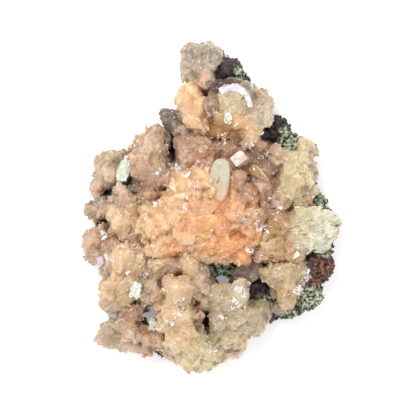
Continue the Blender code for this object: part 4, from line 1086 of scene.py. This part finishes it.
def rock_skin(voxel):
    """The basalt's solid, merged and remeshed, as points, normals and faces."""
    bm = bmesh.new()
    bm.from_mesh(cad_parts["basalt_matrix"].data)
    bmesh.ops.remove_doubles(bm, verts=bm.verts, dist=0.001 * MM)
    mesh = bpy.data.meshes.new("rock")
    bm.to_mesh(mesh)
    bm.free()
    obj = bpy.data.objects.new("rock", mesh)
    bpy.context.scene.collection.objects.link(obj)
    remesh = obj.modifiers.new("skin", "REMESH")
    remesh.mode = "VOXEL"
    remesh.voxel_size = voxel * MM
    found = from_mesh(obj)
    bpy.data.objects.remove(obj)
    return found


def broken_rock(points, normals):
    """Points moved by 0.9 mm of 7 mm noise, 0.5 mm of creased 2.6 mm noise, facets of 3 mm and grain.

    The movement fades to nothing on the flat back. What would narrow an opening is pushed out to
    its rim."""
    crag = 0.9 * fractal(points, 7.0, 51) + 0.5 * (1 - 2 * np.abs(fractal(points, 2.6, 61)))
    fine = 0.25 * fractal(points, 0.9, 71, 2) + 0.45 * packets(points, 3.0, 57)[0]
    free = np.clip((points[:, 2] - 0.4) / 2.5, 0, 1)
    moved = points + normals * ((crag + fine) * free)[:, None]
    moved[:, 2] = np.maximum(moved[:, 2], 0)
    for gap in GAPS:
        axes, size = turned(gap.turn, 0, 0), [gap.long, gap.wide, 1]
        away = (moved - [gap.x, gap.y, 0]) @ axes / size
        share = np.hypot(away[:, 0], away[:, 1])
        blocked = share < ROCK_OPEN
        away[blocked, :2] *= ROCK_OPEN / np.maximum(share[blocked], 0.05)[:, None]
        moved = away * size @ axes.T + [gap.x, gap.y, 0]
    return moved


rock_points, rock_normals, rock_faces = rock_skin(ROCK_VOXEL)
rock_points = broken_rock(rock_points, rock_normals)
print("rock points:", len(rock_points))

# %% [markdown]
# ## Where the crusts lie
#
# Green celadonite, red iron oxide and a black crust lie on the rock in patches with ragged rims.
# They are on the upper part, where open space let them grow, and are stored as values per point.

# %% Patches of crust
CRUST_FOOT = 9.0           # mm above the flat back
Patch = namedtuple("Patch", "kind x y radius")
PATCHES = [Patch(*row) for row in [
    ("green", 30.0, 24.5, 5.0), ("green", 27.5, 28.0, 2.6), ("green", 41.5, -3.5, 6.0),
    ("green", 42.0, -14.5, 4.5), ("green", 38.0, -33.0, 6.5), ("green", 29.0, -38.5, 4.5),
    ("green", 3.0, -22.0, 6.5), ("green", 10.0, -22.0, 4.0), ("green", 21.0, -35.0, 5.0),
    ("green", 8.0, -53.0, 5.0), ("green", 14.0, -47.0, 3.0), ("green", -16.0, -52.0, 3.0),
    ("green", 11.8, 50.6, 3.2), ("green", -30.0, -36.0, 3.0), ("green", 38.5, 7.0, 3.0),
    ("green", 42.0, 3.0, 4.0), ("rust", 41.5, -21.5, 5.5), ("rust", 39.5, -27.0, 3.5),
    ("black", 20.0, -30.0, 5.0), ("black", 10.0, 47.0, 6.5), ("black", 24.0, 29.0, 6.0),
    ("black", 33.0, -35.5, 3.5), ("black", 26.0, -33.0, 4.5), ("black", -13.0, 23.0, 6.0),
    ("black", -38.5, -5.5, 4.5),
]]


def patch_share(points, kind):
    """How much of a kind of crust covers each point: 1 in a patch's middle, ragged towards its rim.

    A patch lies on the rock's upper part, and thins out from CRUST_FOOT down."""
    ragged = 0.7 * fractal(points, 2.5, 77, 3) + 0.9 * fractal(points, 7.0, 83, 2)
    below = np.minimum(points[:, 2] - CRUST_FOOT, 0)
    share = np.zeros(len(points))
    for patch in PATCHES:
        if patch.kind == kind:
            away = np.sqrt((points[:, 0] - patch.x) ** 2 + (points[:, 1] - patch.y) ** 2
                           + below ** 2) / patch.radius
            share = np.maximum(share, np.clip(2.4 * (1 - away) + ragged, 0, 1))
    return share


crust = {kind: patch_share(rock_points, kind) for kind in ("green", "rust", "black")}
print("points with crust:", {kind: int((share > 0.5).sum()) for kind, share in crust.items()})

# %% [markdown]
# ## The rock's material
#
# Broken basalt is matt, purple black, with tiny pale feldspar laths. The crusts on it are
# powdery: pale green celadonite, red oxide, and a sooty black one.

# %% Basalt and crusts


def basalt():
    """Broken basalt with its crusts: matt, grainy, mixed by the patches' shares."""
    material, tree, coords = new_material("basalt_broken_with_celadonite")
    grainy, cloud = mottled(tree, coords, 1.2, 4.0), mottled(tree, coords, 6.0, 3.0)
    speck = add(tree, "ShaderNodeTexVoronoi", {"Scale": 1000 / 0.9}, Vector=coords)
    base = add(tree, "ShaderNodeMix", {"data_type": "RGBA", 6: rgba("2E2528"), 7: rgba("75666A")},
               _0=cloud)
    lath = add(tree, "ShaderNodeMapRange", {"From Min": 0.16, "From Max": 0.1, "To Max": 0.6},
               Value=speck.outputs["Distance"])
    colour = add(tree, "ShaderNodeMix", {"data_type": "RGBA", 7: rgba("A8A09C")},
                 _0=lath.outputs[0], _6=base.outputs[2]).outputs[2]
    crusts = {"black": ("181314", "54464A"), "rust": ("2A2022", "A4705E"),
              "green": ("343A36", "CDD4B2")}
    for kind, (dark, light) in crusts.items():
        share = add(tree, "ShaderNodeAttribute", {"attribute_name": kind}).outputs["Fac"]
        powder = add(tree, "ShaderNodeMapRange", {"From Min": 0.43, "From Max": 0.59}, Value=grainy)
        tone = add(tree, "ShaderNodeMix", {"data_type": "RGBA", 6: rgba(dark), 7: rgba(light)},
                   _0=powder.outputs[0])
        colour = add(tree, "ShaderNodeMix", {"data_type": "RGBA"},
                     _0=share, _6=colour, _7=tone.outputs[2]).outputs[2]
    bump = add(tree, "ShaderNodeBump", {"Strength": 0.6, "Distance": 0.3 * MM}, Height=grainy)
    surface(tree, {"Roughness": 0.85, "Specular IOR Level": 0.35},
            Base_Color=colour, Normal=bump.outputs[0])
    return material


BASALT = basalt()
print("material:", BASALT.name)

# %% [markdown]
# ## Crust grains
#
# Close up, the crusts are little knobs, like coral, and the bare rock has a coarse grain too.
# They are real grains of 0.5 to 1.4 mm, each a ball pushed out of round, closest on the crusts.

# %% Grains on the rock
NUB, NUB_FACES = unit_ball(1)
NUB_SEAT, NUB_SWELL, NUB_LUMP = 0.3, 0.45, 0.55        # seat for the radius, noise and its size in mm
NUB_SMALL, NUB_LARGE = 0.25, 0.7                       # mm, radius
GRAIN_FOOT = 4.0           # mm above the flat back
BARE_SHARE, CRUST_SHARE = 0.16, 0.3    # share of the points with a grain, and more of it on crust
CLEAR_OF_SHEAVES = 1.02    # depth in the sheaves past which rock is seen


def grains(spots, normals, low, high):
    """Knobby grains: seat + (ball point)*radius*(1 + noise), seated 0.3 radius out of the rock."""
    radius = rng.uniform(low, high, len(spots))[:, None, None]
    seat = (spots + normals * radius[:, :, 0] * NUB_SEAT)[:, None]
    noise = lattice((seat + NUB * radius).reshape(-1, 3) / NUB_LUMP, 91).reshape(len(spots), -1, 1)
    points = seat + NUB * radius * (1 + NUB_SWELL * noise)
    rows = NUB_FACES + (np.arange(len(spots)) * len(NUB))[:, None, None]
    return points.reshape(-1, 3), rows.reshape(-1, 3)


upper = rock_points[:, 2] > GRAIN_FOOT
covered = np.clip(crust["green"] + crust["rust"] + crust["black"], 0, 1) * upper
chosen = rng.random(len(rock_points)) < BARE_SHARE * upper + covered * CRUST_SHARE
chosen &= least_depth(rock_points, ALL_SHEAVES) > CLEAR_OF_SHEAVES
nub_points, nub_faces = grains(rock_points[chosen], rock_normals[chosen], NUB_SMALL, NUB_LARGE)
shares = {kind: np.concatenate([share, np.repeat(share[chosen], len(NUB))])
          for kind, share in crust.items()}
obj = piece("basalt_rock", np.concatenate([rock_points, nub_points]),
            [rock_faces, nub_faces + len(rock_points)], shares, len(rock_faces), BASALT)
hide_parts("basalt_matrix")

# %% [markdown]
# ## Heulandite
#
# Heulandite grows as coffin-shaped tablets with glassy edges and a pearly broad face, on which
# growth leaves low terraces. A tablet is a stack of rings: an outline with rounded corners,
# scaled and lifted ring by ring from the middle of one broad face, over the edge, to the other.

# %% Tablets
Crystal = namedtuple("Crystal", "name habit tint foot x y z length width thick turn pitch roll")
CRYSTALS = [Crystal(*row) for row in [
    ("centre_heulandite_blade", "finger", "C8C4AC", "E6B996",
     4.0, 10.4, 33.2, 16.2, 7.4, 4.6, 84, 12, -14),
    ("white_heulandite_block", "box", "DEC2AE", "F6F0EA",
     11.4, 18.2, 29.2, 6.4, 5.2, 5.0, 38, 8, -14),
    ("amber_heulandite", "drop", "D6AE74", "C08A4C",
     18.6, 12.8, 28.2, 8.8, 5.0, 4.0, -37, -2, 8),
    # Its near-white tint is partly its own pearly colour and partly a painted reflection on its face.
    ("pearly_heulandite_plate", "coffin", "DDE2CC", "E2E6D4",
     -30.5, 15.0, 21.2, 10.8, 4.8, 3.6, 66, -8, 12),
    ("brown_heulandite_wedge", "coffin", "9E7F64", "8C6E55",
     1.4, 37.3, 25.8, 7.8, 5.8, 4.6, 104, -6, -12),
    ("mauve_heulandite", "coffin", "A48A7C", "8E7468",
     14.6, -22.6, 15.5, 12.0, 8.6, 5.4, 30, 6, 10),
    ("smoky_lower_heulandite", "coffin", "A08E7E", "8A7A6A",
     26.6, -36.6, 15.5, 7.0, 4.4, 3.6, -10, 5, 18),
    ("grey_heulandite_blade", "coffin", "A89E92", "948A7C",
     -36.0, -37.4, 14.8, 7.2, 3.2, 3.2, -60, 4, -15),
    # Its near-white tint is partly its own milky colour and partly a painted reflection on its face.
    ("milky_heulandite_block", "box", "E6EADC", "DCD8C4",
     -26.9, -29.2, 24.8, 6.4, 4.2, 4.0, 82, 6, 10),
    ("milky_heulandite_sliver", "coffin", "E4E6D8", "D8D4C0",
     -20.6, -42.2, 17.8, 4.6, 2.2, 3.0, 74, 4, 0),
    ("diamond_heulandite", "box", "F0ECF0", "E6DCE0",
     -36.2, -17.6, 17.6, 4.8, 3.8, 2.8, 112, 0, -12),
    ("lilac_heulandite", "box", "E6D2DE", "D8BECC",
     -39.4, -18.9, 15.2, 3.8, 3.0, 2.6, 100, 0, -20),
    # Its near-white tint is partly its own pale colour and partly a painted reflection on its face.
    ("bright_heulandite_chip", "box", "EEEEDC", "E0D8B8",
     31.5, -16.6, 24.6, 4.0, 2.6, 2.8, 30, 5, 8),
    # Its near-white tint is partly its own pale colour and partly a painted reflection on its face.
    ("greenish_heulandite", "finger", "E0E2C8", "CFC8A0",
     6.9, 33.3, 31.0, 4.8, 2.8, 2.8, 78, -8, 6),
    ("rose_heulandite_block", "box", "C8A080", "B48C6C",
     -3.4, -38.9, 23.8, 4.4, 3.6, 4.0, 42, 0, 10),
]]
COFFIN = np.array([(-1.0, 0.45), (-0.45, 0.92), (0.25, 1.0), (1.0, 0.36),
                   (1.0, -0.36), (0.25, -1.0), (-0.45, -0.92), (-1.0, -0.45)])
BOX = 0.84 * np.array([(-1.0, 0.8), (-0.8, 1.0), (0.72, 0.96), (1.0, 0.7),
                       (1.0, -0.84), (0.8, -1.0), (-0.84, -1.0), (-1.0, -0.76)])
SIDE_STEPS = 6             # points along each of an outline's eight sides
TERRACE_SHIFT, TERRACE_WAY = 0.35, np.array([1.0, -0.8])      # how far inner rings lie off the middle
DENTS, DENT_SIZE = 0.1, 1.8                            # mm that noise moves a point, and its grain
STEPPED, STEP_SIZE = 0.22, 2.4                         # strength of the facets on it, and mm across
RINGS = np.array([(0.2, 1.0), (0.4, 1.0), (0.6, 1.0), (0.63, 0.95), (0.78, 0.95), (0.92, 0.95),
                  (0.985, 0.82), (1.0, 0.66), (1.0, 0.3), (1.0, 0.0), (1.0, -0.4), (0.985, -0.7),
                  (0.9, -0.86), (0.76, -0.93), (0.4, -0.93)])
DOME = np.array([(0.25, 1.0), (0.45, 0.97), (0.62, 0.91), (0.76, 0.81), (0.86, 0.69), (0.93, 0.54),
                 (0.975, 0.36), (1.0, 0.15), (1.0, -0.1), (0.985, -0.35), (0.94, -0.58),
                 (0.86, -0.76), (0.74, -0.87), (0.58, -0.93), (0.4, -0.93)])


def outline(habit):
    """A closed outline within 1 of the middle: straight between corners, or x^2.6 + y^2.6 = 1.

    A drop is that round outline, narrowed towards one end."""
    corners = BOX if habit == "box" else COFFIN
    share = np.arange(SIDE_STEPS)[:, None, None] / SIDE_STEPS
    edge = corners * (1 - share) + np.roll(corners, -1, axis=0) * share
    edge = edge.transpose(1, 0, 2).reshape(-1, 2)
    if habit in ("finger", "drop"):
        edge = edge / ((np.abs(edge) ** 2.6).sum(axis=1, keepdims=True)) ** (1 / 2.6)
    if habit == "drop":
        edge[:, 1] *= 0.62 - 0.38 * edge[:, 0]
    return edge


def tablet(crystal, seed):
    """Rings of the outline: (along*scale, across*scale, height), with a cap at each end.

    The tint passes from the foot, at the low end, to the rest, and a little noise shifts it."""
    edge = outline(crystal.habit)
    around = len(edge)
    profile = DOME if crystal.habit in ("finger", "drop") else RINGS
    scale, height = profile.T
    flat = edge[None] * scale[:, None, None]
    flat += TERRACE_SHIFT * np.clip(0.9 - scale[:, None, None], 0, 1) * TERRACE_WAY
    rings = np.concatenate([flat, np.broadcast_to(height[:, None, None], (len(profile), around, 1))],
                           axis=2).reshape(-1, 3)
    caps = np.array([[0.0, 0.0, height[0]], [0.0, 0.0, height[-1]]])
    points = np.concatenate([rings, caps])
    along = points[:, 0] + 0.35 * fractal(points * 2.0, 1.0, seed, 2)
    share = np.clip(0.75 + 0.6 * along, 0, 1)[:, None]
    tints = linear(crystal.foot) * (1 - share) + linear(crystal.tint) * share
    points = points * [crystal.length / 2, crystal.width / 2, crystal.thick / 2]
    points += DENTS * np.stack([fractal(points, DENT_SIZE, seed + i, 2) for i in range(3)], axis=1)
    points[:, 2] += STEPPED * packets(points, STEP_SIZE, seed)[0]
    points = points @ turned(crystal.turn, crystal.pitch, crystal.roll).T
    points += [crystal.x, crystal.y, crystal.z]
    here = np.arange(around)
    ahead = np.roll(here, -1)
    first = (np.arange(len(profile) - 1) * around)[:, None, None]
    quads = np.stack([here, here + around, ahead + around, ahead], axis=1)[None] + first
    last = (len(profile) - 1) * around
    top = np.stack([here, ahead, np.full(around, len(rings))], axis=1)
    bottom = np.stack([ahead + last, here + last, np.full(around, len(rings) + 1)], axis=1)
    return points, [quads.reshape(-1, 4), np.concatenate([top, bottom])], {"tint": tints}


print("tablets:", len(CRYSTALS))

# %% [markdown]
# ## Heulandite's material
#
# Heulandite is clear to milky, with a glassy edge and a pearly face. Light enters it and comes
# out near by, and a thin smooth coat gives the glint. Fine cracks make it milky in places. Two of
# the crystals are clearer than the others, so some light also passes straight through them.

# %% Heulandite
CLEARER = ("amber_heulandite", "mauve_heulandite")


def heulandite(name, through):
    """Heulandite as grown: a milky body under a glassy coat. Through is the share of clear light."""
    material, tree, coords = new_material(name)
    tint = add(tree, "ShaderNodeAttribute", {"attribute_name": "tint"}).outputs["Color"]
    clouds, ripples = mottled(tree, coords, 1.3, 4.0), mottled(tree, coords, 0.5, 2.0)
    milky = add(tree, "ShaderNodeMapRange", {"From Min": 0.5, "From Max": 0.75, "To Max": 0.35},
                Value=clouds)
    colour = add(tree, "ShaderNodeMix", {"data_type": "RGBA", 7: rgba("F2EFE8")},
                 _0=milky.outputs[0], _6=tint)
    bump = add(tree, "ShaderNodeBump", {"Strength": 0.25, "Distance": 0.15 * MM}, Height=ripples)
    surface(tree, {
        "IOR": 1.5, "Roughness": 0.22, "Subsurface Weight": 0.6, "Subsurface Scale": 1.6 * MM,
        "Subsurface Radius": (1.0, 0.85, 0.7), "Transmission Weight": through, "Coat Weight": 0.6,
        "Coat Roughness": 0.08,
    }, Base_Color=colour.outputs[2], Normal=bump.outputs[0])
    return material


MILKY, CLEAR = heulandite("zeolite_glassy_milky", 0.0), heulandite("zeolite_glassy_clear", 0.4)
for seed, crystal in enumerate(CRYSTALS):
    points, faces, attributes = tablet(crystal, 200 + seed)
    smooth = len(faces[0]) + len(faces[1]) if crystal.habit in ("finger", "drop") else 0
    obj = piece(crystal.name + "_tablet", points, faces, attributes, smooth,
                CLEAR if crystal.name in CLEARER else MILKY)
    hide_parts(crystal.name)
    "white_heulandite" if linear(crystal.tint).mean() > 0.5 else "brown_heulandite"

# %% [markdown]
# ## The silvery crescent
#
# Above the olive lobe at the narrow end lies a band of small clear blades. They overlap round the
# lobe like scales, and their silvery lilac colour is a painted reflection. They are the same blade
# tips, set along an arc. Each falls from above onto the skins, so that it lies on the sheaves under it.

# %% Crescent
ARC_MIDDLE, ARC_RADIUS, ARC_HEIGHT = (8.2, 37.2), 6.9, 30.0
ARC_HALF_WIDTH = 0.95
ARC_FROM, ARC_TO = math.radians(124), math.radians(0)
ARC_BLADES = 520
ARC_LIFT, CONE_SLOPE = 0.5, 0.4        # mm off the skin, and the cone's fall for 1 outwards
ABOVE_ALL = 60.0           # mm in height, above every crystal


def skin_tree():
    """All skins in one tree for ray casts. Each skin's indices start where the last one's end."""
    starts = np.cumsum([0] + [len(points) for points, _ in SKINS])
    faces = [rows[0] + start for (_, rows), start in zip(SKINS, starts)]
    return BVHTree.FromPolygons(np.concatenate([points for points, _ in SKINS]).tolist(),
                                np.concatenate(faces).tolist())


TREE = skin_tree()


def landing(x, y):
    """Where plates that fall from above come to lie on the skins, and the skin's normals there."""
    hits = [TREE.ray_cast(Vector((*place, ABOVE_ALL)), Vector((0, 0, -1))) for place in zip(x, y)]
    hits = [hit for hit in hits if hit[0] is not None]
    return np.array([hit[0] for hit in hits]), np.array([hit[1] for hit in hits])


def glint_painted_material(name, one, other):
    """Small clear zeolite plates, polished by nature, so they glint; their near-white colours are a
    painted glint. Two pale colours in clouds.
    """
    material, tree, coords = new_material(name)
    share = add(tree, "ShaderNodeMapRange", {"From Min": 0.42, "From Max": 0.58},
                Value=mottled(tree, coords, 2.5, 3.0))
    colour = add(tree, "ShaderNodeMix", {"data_type": "RGBA", 6: rgba(one), 7: rgba(other)},
                 _0=share.outputs[0])
    surface(tree, {"IOR": 1.5, "Specular IOR Level": 1.0, "Roughness": 0.12, "Coat Weight": 1.0,
                   "Coat Roughness": 0.03}, Base_Color=colour.outputs[2])
    return material


def crescent(count):
    """Blades at even angles along the arc, in a band that narrows, with their broad sides up.

    The band rests on the skins, and keeps to a cone that falls away from the arc's middle."""
    share = (np.arange(count) + rng.uniform(-0.4, 0.4, count)) / count
    angle = ARC_FROM + (ARC_TO - ARC_FROM) * share
    radius = ARC_RADIUS + rng.uniform(-ARC_HALF_WIDTH, ARC_HALF_WIDTH, count) * (1 - 0.5 * share)
    spots, _ = landing(ARC_MIDDLE[0] + radius * np.cos(angle), ARC_MIDDLE[1] + radius * np.sin(angle))
    way = (spots - [*ARC_MIDDLE, 0.0]) * [1, 1, 0]
    way /= np.linalg.norm(way, axis=1, keepdims=True)
    cone = ARC_HEIGHT - CONE_SLOPE * np.hypot(*(spots[:, :2] - ARC_MIDDLE).T)
    spots[:, 2] = np.maximum(spots[:, 2] + ARC_LIFT, cone)
    count = len(spots)
    round_arc = np.stack([-way[:, 1], way[:, 0], np.zeros(count)], axis=1)
    out = way + np.array([0.0, 0.0, 0.5]) + 0.3 * rng.standard_normal((count, 3))
    half = np.array([0.0, 0.0, 1.0]) - way * 0.5 + 0.35 * rng.standard_normal((count, 3))
    return tips(spots - out * 0.4, round_arc * rng.uniform(0.25, 0.5, (count, 1)),
                out * rng.uniform(0.6, 0.9, (count, 1)), half * rng.uniform(0.08, 0.16, (count, 1)))


print("skin points that plates land on:", sum(len(points) for points, _ in SKINS))

# %% [markdown]
# ## Glinting plates
#
# The same plates glint in loose clusters all over the specimen, and smaller chips catch the light
# between them; their near-white colour is a painted glint on top of what their polish reflects.
# Four of the tablets have a coating of plates. The clusters are a short list.

# %% Glints, chips and coatings
GLINTS = [                 # x, y, spread in mm, count
    (-8.3, 4.0, 0.7, 7), (-6.0, 9.0, 0.6, 5), (-8.3, 11.7, 0.6, 5), (-13.0, 8.5, 0.7, 5),
    (-8.3, 1.0, 0.6, 4), (-19.5, 2.5, 0.8, 6), (-12.0, 15.0, 0.7, 7), (-10.5, 14.5, 0.6, 5),
    (-19.0, 13.5, 0.6, 5), (12.0, -4.5, 0.9, 7), (17.0, -5.0, 0.8, 5), (19.0, -6.6, 0.8, 6),
    (21.0, -8.0, 0.7, 5), (13.5, -14.5, 0.7, 5), (16.5, -14.5, 0.7, 6), (11.3, -19.3, 0.7, 4),
    (5.5, -20.5, 0.6, 4), (-12.0, -33.5, 0.6, 4), (-10.0, -33.5, 0.6, 4), (-13.0, -41.0, 0.6, 5),
    (-11.3, -39.0, 0.6, 5), (-9.6, -37.0, 0.6, 4), (4.8, -39.0, 0.7, 5), (10.0, -35.0, 0.9, 7),
    (10.5, -29.0, 0.8, 8), (1.0, -51.0, 0.8, 5), (-21.0, -41.0, 0.6, 5), (-17.5, -43.0, 0.7, 6),
    (5.0, 25.0, 1.0, 7), (-26.0, -14.0, 0.8, 6), (-23.5, -24.0, 0.9, 7), (-29.0, -22.5, 0.7, 5),
    (26.0, 0.4, 0.9, 7), (22.5, 3.2, 0.8, 6), (20.4, 19.6, 0.8, 6), (37.6, -21.6, 0.8, 12),
    (36.0, -23.8, 0.8, 12), (34.6, -26.0, 0.8, 12), (33.2, -28.4, 0.8, 12), (32.2, -30.4, 0.7, 10),
    (11.5, -28.6, 0.9, 12), (13.2, -30.8, 0.8, 10), (9.0, -30.0, 0.8, 6), (10.2, -33.5, 0.8, 8),
    (-38.6, -10.0, 0.9, 8), (-36.5, -21.0, 0.7, 5), (14.5, 24.0, 0.8, 6), (-3.0, 16.0, 0.9, 7),
]
SPARKLES = [(-3.0, -3.0, 11.0, 60), (-6.0, -30.0, 14.0, 70), (8.0, 20.0, 10.0, 70),
            (-27.0, -8.0, 11.0, 70), (28.0, -4.0, 9.0, 60), (2.0, 0.0, 24.0, 110)]
PLATE, CHIP = (0.35, 0.95), (0.16, 0.4)                # mm, least and largest half length
COATINGS = {"pearly_plate_coating_painted_glint": ("pearly_heulandite_plate", 90),
            "milky_block_coating_painted_glint": ("milky_heulandite_block", 60),
            "milky_sliver_coating_painted_glint": ("milky_heulandite_sliver", 26),
            "greenish_coating_painted_glint": ("greenish_heulandite", 24)}


def glitter(rows, small, large):
    """Little plates in loose clusters on the sheaves, each turned and leaning its own way."""
    table = np.array(rows)
    which = np.repeat(np.arange(len(table)), table[:, 3].astype(int))
    count = len(which)
    x, y = (table[which, :2] + rng.normal(0, 1, (count, 2)) * table[which, 2:3]).T
    spots, normals = landing(x, y)
    count = len(spots)
    turn = rng.uniform(0, math.pi, count)[:, None]
    way = np.concatenate([np.cos(turn), np.sin(turn), 0.3 * rng.standard_normal((count, 1))], axis=1)
    out = rng.standard_normal((count, 3)) * 0.6 + normals
    half = np.cross(way, out)
    half /= np.linalg.norm(half, axis=1, keepdims=True)
    size = rng.uniform(small, large, (count, 1))
    return tips(spots, way * size, out * size, half * rng.uniform(0.08, 0.15, (count, 1)))


def coating(crystal, count):
    """Plates strewn over a tablet's upper face: (along, across) in its outline, on its own axes."""
    spots = rng.uniform(-0.86, 0.86, (count, 3)) * [crystal.length / 2, crystal.width / 2, 0]
    spots[:, 2] = crystal.thick / 2 - 0.25
    axes = turned(crystal.turn, crystal.pitch, crystal.roll)
    spots = spots @ axes.T + [crystal.x, crystal.y, crystal.z]
    way = rng.standard_normal((count, 3)) * [1, 1, 0.35] @ axes.T
    way /= np.linalg.norm(way, axis=1, keepdims=True)
    out = np.cross(way, axes[:, 2] + 0.4 * rng.standard_normal((count, 3))) + axes[:, 2] * 0.8
    half = np.cross(way, out)
    half /= np.linalg.norm(half, axis=1, keepdims=True)
    size = rng.uniform(0.4, 0.9, (count, 1))
    return tips(spots, way * size, out * size * 0.8, half * rng.uniform(0.1, 0.18, (count, 1)))


# Near-white colours for the plates: painted glints.
LILAC_GLINT_PAINT = glint_painted_material("zeolite_lilac_plates_painted_glint", "FCFAFF", "E6DCEE")
PEARLY_GLINT_PAINT = glint_painted_material("zeolite_pearly_plates_painted_glint", "FBFBF4", "DEE4D4")
WHITE_GLINT_PAINT = glint_painted_material("zeolite_white_plates_painted_glint", "FFFFFF", "F6F0F6")
NAMED = {crystal.name: crystal for crystal in CRYSTALS}
piece("crescent_of_painted_glints", *crescent(ARC_BLADES), {}, 0, LILAC_GLINT_PAINT)
piece("plates_with_painted_glint", *glitter(GLINTS, *PLATE), {}, 0, WHITE_GLINT_PAINT)
piece("chips_with_painted_glint", *glitter(SPARKLES, *CHIP), {}, 0, WHITE_GLINT_PAINT)
for name, (tablet_name, count) in COATINGS.items():
    piece(name, *coating(NAMED[tablet_name], count), {}, 0, PEARLY_GLINT_PAINT)

# %% [markdown]
# ## Floor, light and camera
#
# The specimen lies on a pale tabletop and is seen from above, as in the photo. A large soft light
# stands behind it to the left and a weaker one in front to the right. The even light of a white
# room does the rest. The tabletop shines faintly, like a light table, so the shadows stay pale.

# %% Floor, light and camera
FRAME_WIDTH = 152.2        # mm across the picture at the crystals' height
FRAME_MIDDLE = (-0.18, 0.37)                           # mm
FOCUS_HEIGHT = 20.0
CAMERA_DISTANCE = 1200.0
ROOM_LIGHT = 0.75
TABLETOP_HALF, TABLETOP_LEVEL = 2.0, -0.02 * MM        # m, just under the flat back


def floor():
    """A plain white tabletop that shines faintly."""
    material, tree, _ = new_material("tabletop_matt_white")
    surface(tree, {"Base Color": rgba("FFFFFF"), "Roughness": 0.9,
                   "Emission Color": rgba("FFFFFF"), "Emission Strength": 0.3})
    mesh = bpy.data.meshes.new("tabletop")
    corners = [(-1, -1), (1, -1), (1, 1), (-1, 1)]
    mesh.from_pydata([(x * TABLETOP_HALF, y * TABLETOP_HALF, TABLETOP_LEVEL) for x, y in corners],
                     [], [(0, 1, 2, 3)])
    mesh.materials.append(material)
    obj = bpy.data.objects.new("tabletop", mesh)
    bpy.context.scene.collection.objects.link(obj)


def area_light(name, place, size, power, colour):
    """A soft square light that faces the specimen. Places and sizes are in metres."""
    light = bpy.data.lights.new(name, "AREA")
    light.size = size
    light.energy = power
    light.color = linear(colour)
    obj = bpy.data.objects.new(name, light)
    obj.location = place
    obj.rotation_euler = (-Vector(place)).to_track_quat("-Z", "Y").to_euler()
    bpy.context.scene.collection.objects.link(obj)


floor()
area_light("key", (-0.24, 0.3, 0.93), 0.32, 4.6, "FFFDF8")
area_light("fill", (0.5, -0.3, 0.85), 0.6, 1.6, "F8F8FF")
world = bpy.data.worlds.new("studio")
world.use_nodes = True
world.node_tree.nodes["Background"].inputs["Color"].default_value = (1, 1, 1, 1)
world.node_tree.nodes["Background"].inputs["Strength"].default_value = ROOM_LIGHT
bpy.context.scene.world = world
bpy.context.scene.view_settings.view_transform = "Standard"

camera = bpy.data.cameras.new("camera")
camera.lens = camera.sensor_width * CAMERA_DISTANCE / FRAME_WIDTH
camera.clip_start, camera.clip_end = 0.1, 10.0
viewer = bpy.data.objects.new("camera", camera)
viewer.location = Vector((*FRAME_MIDDLE, FOCUS_HEIGHT + CAMERA_DISTANCE)) * MM
bpy.context.scene.collection.objects.link(viewer)
bpy.context.scene.camera = viewer
print("camera:", CAMERA_DISTANCE, "mm above the crystals, lens", round(camera.lens), "mm")
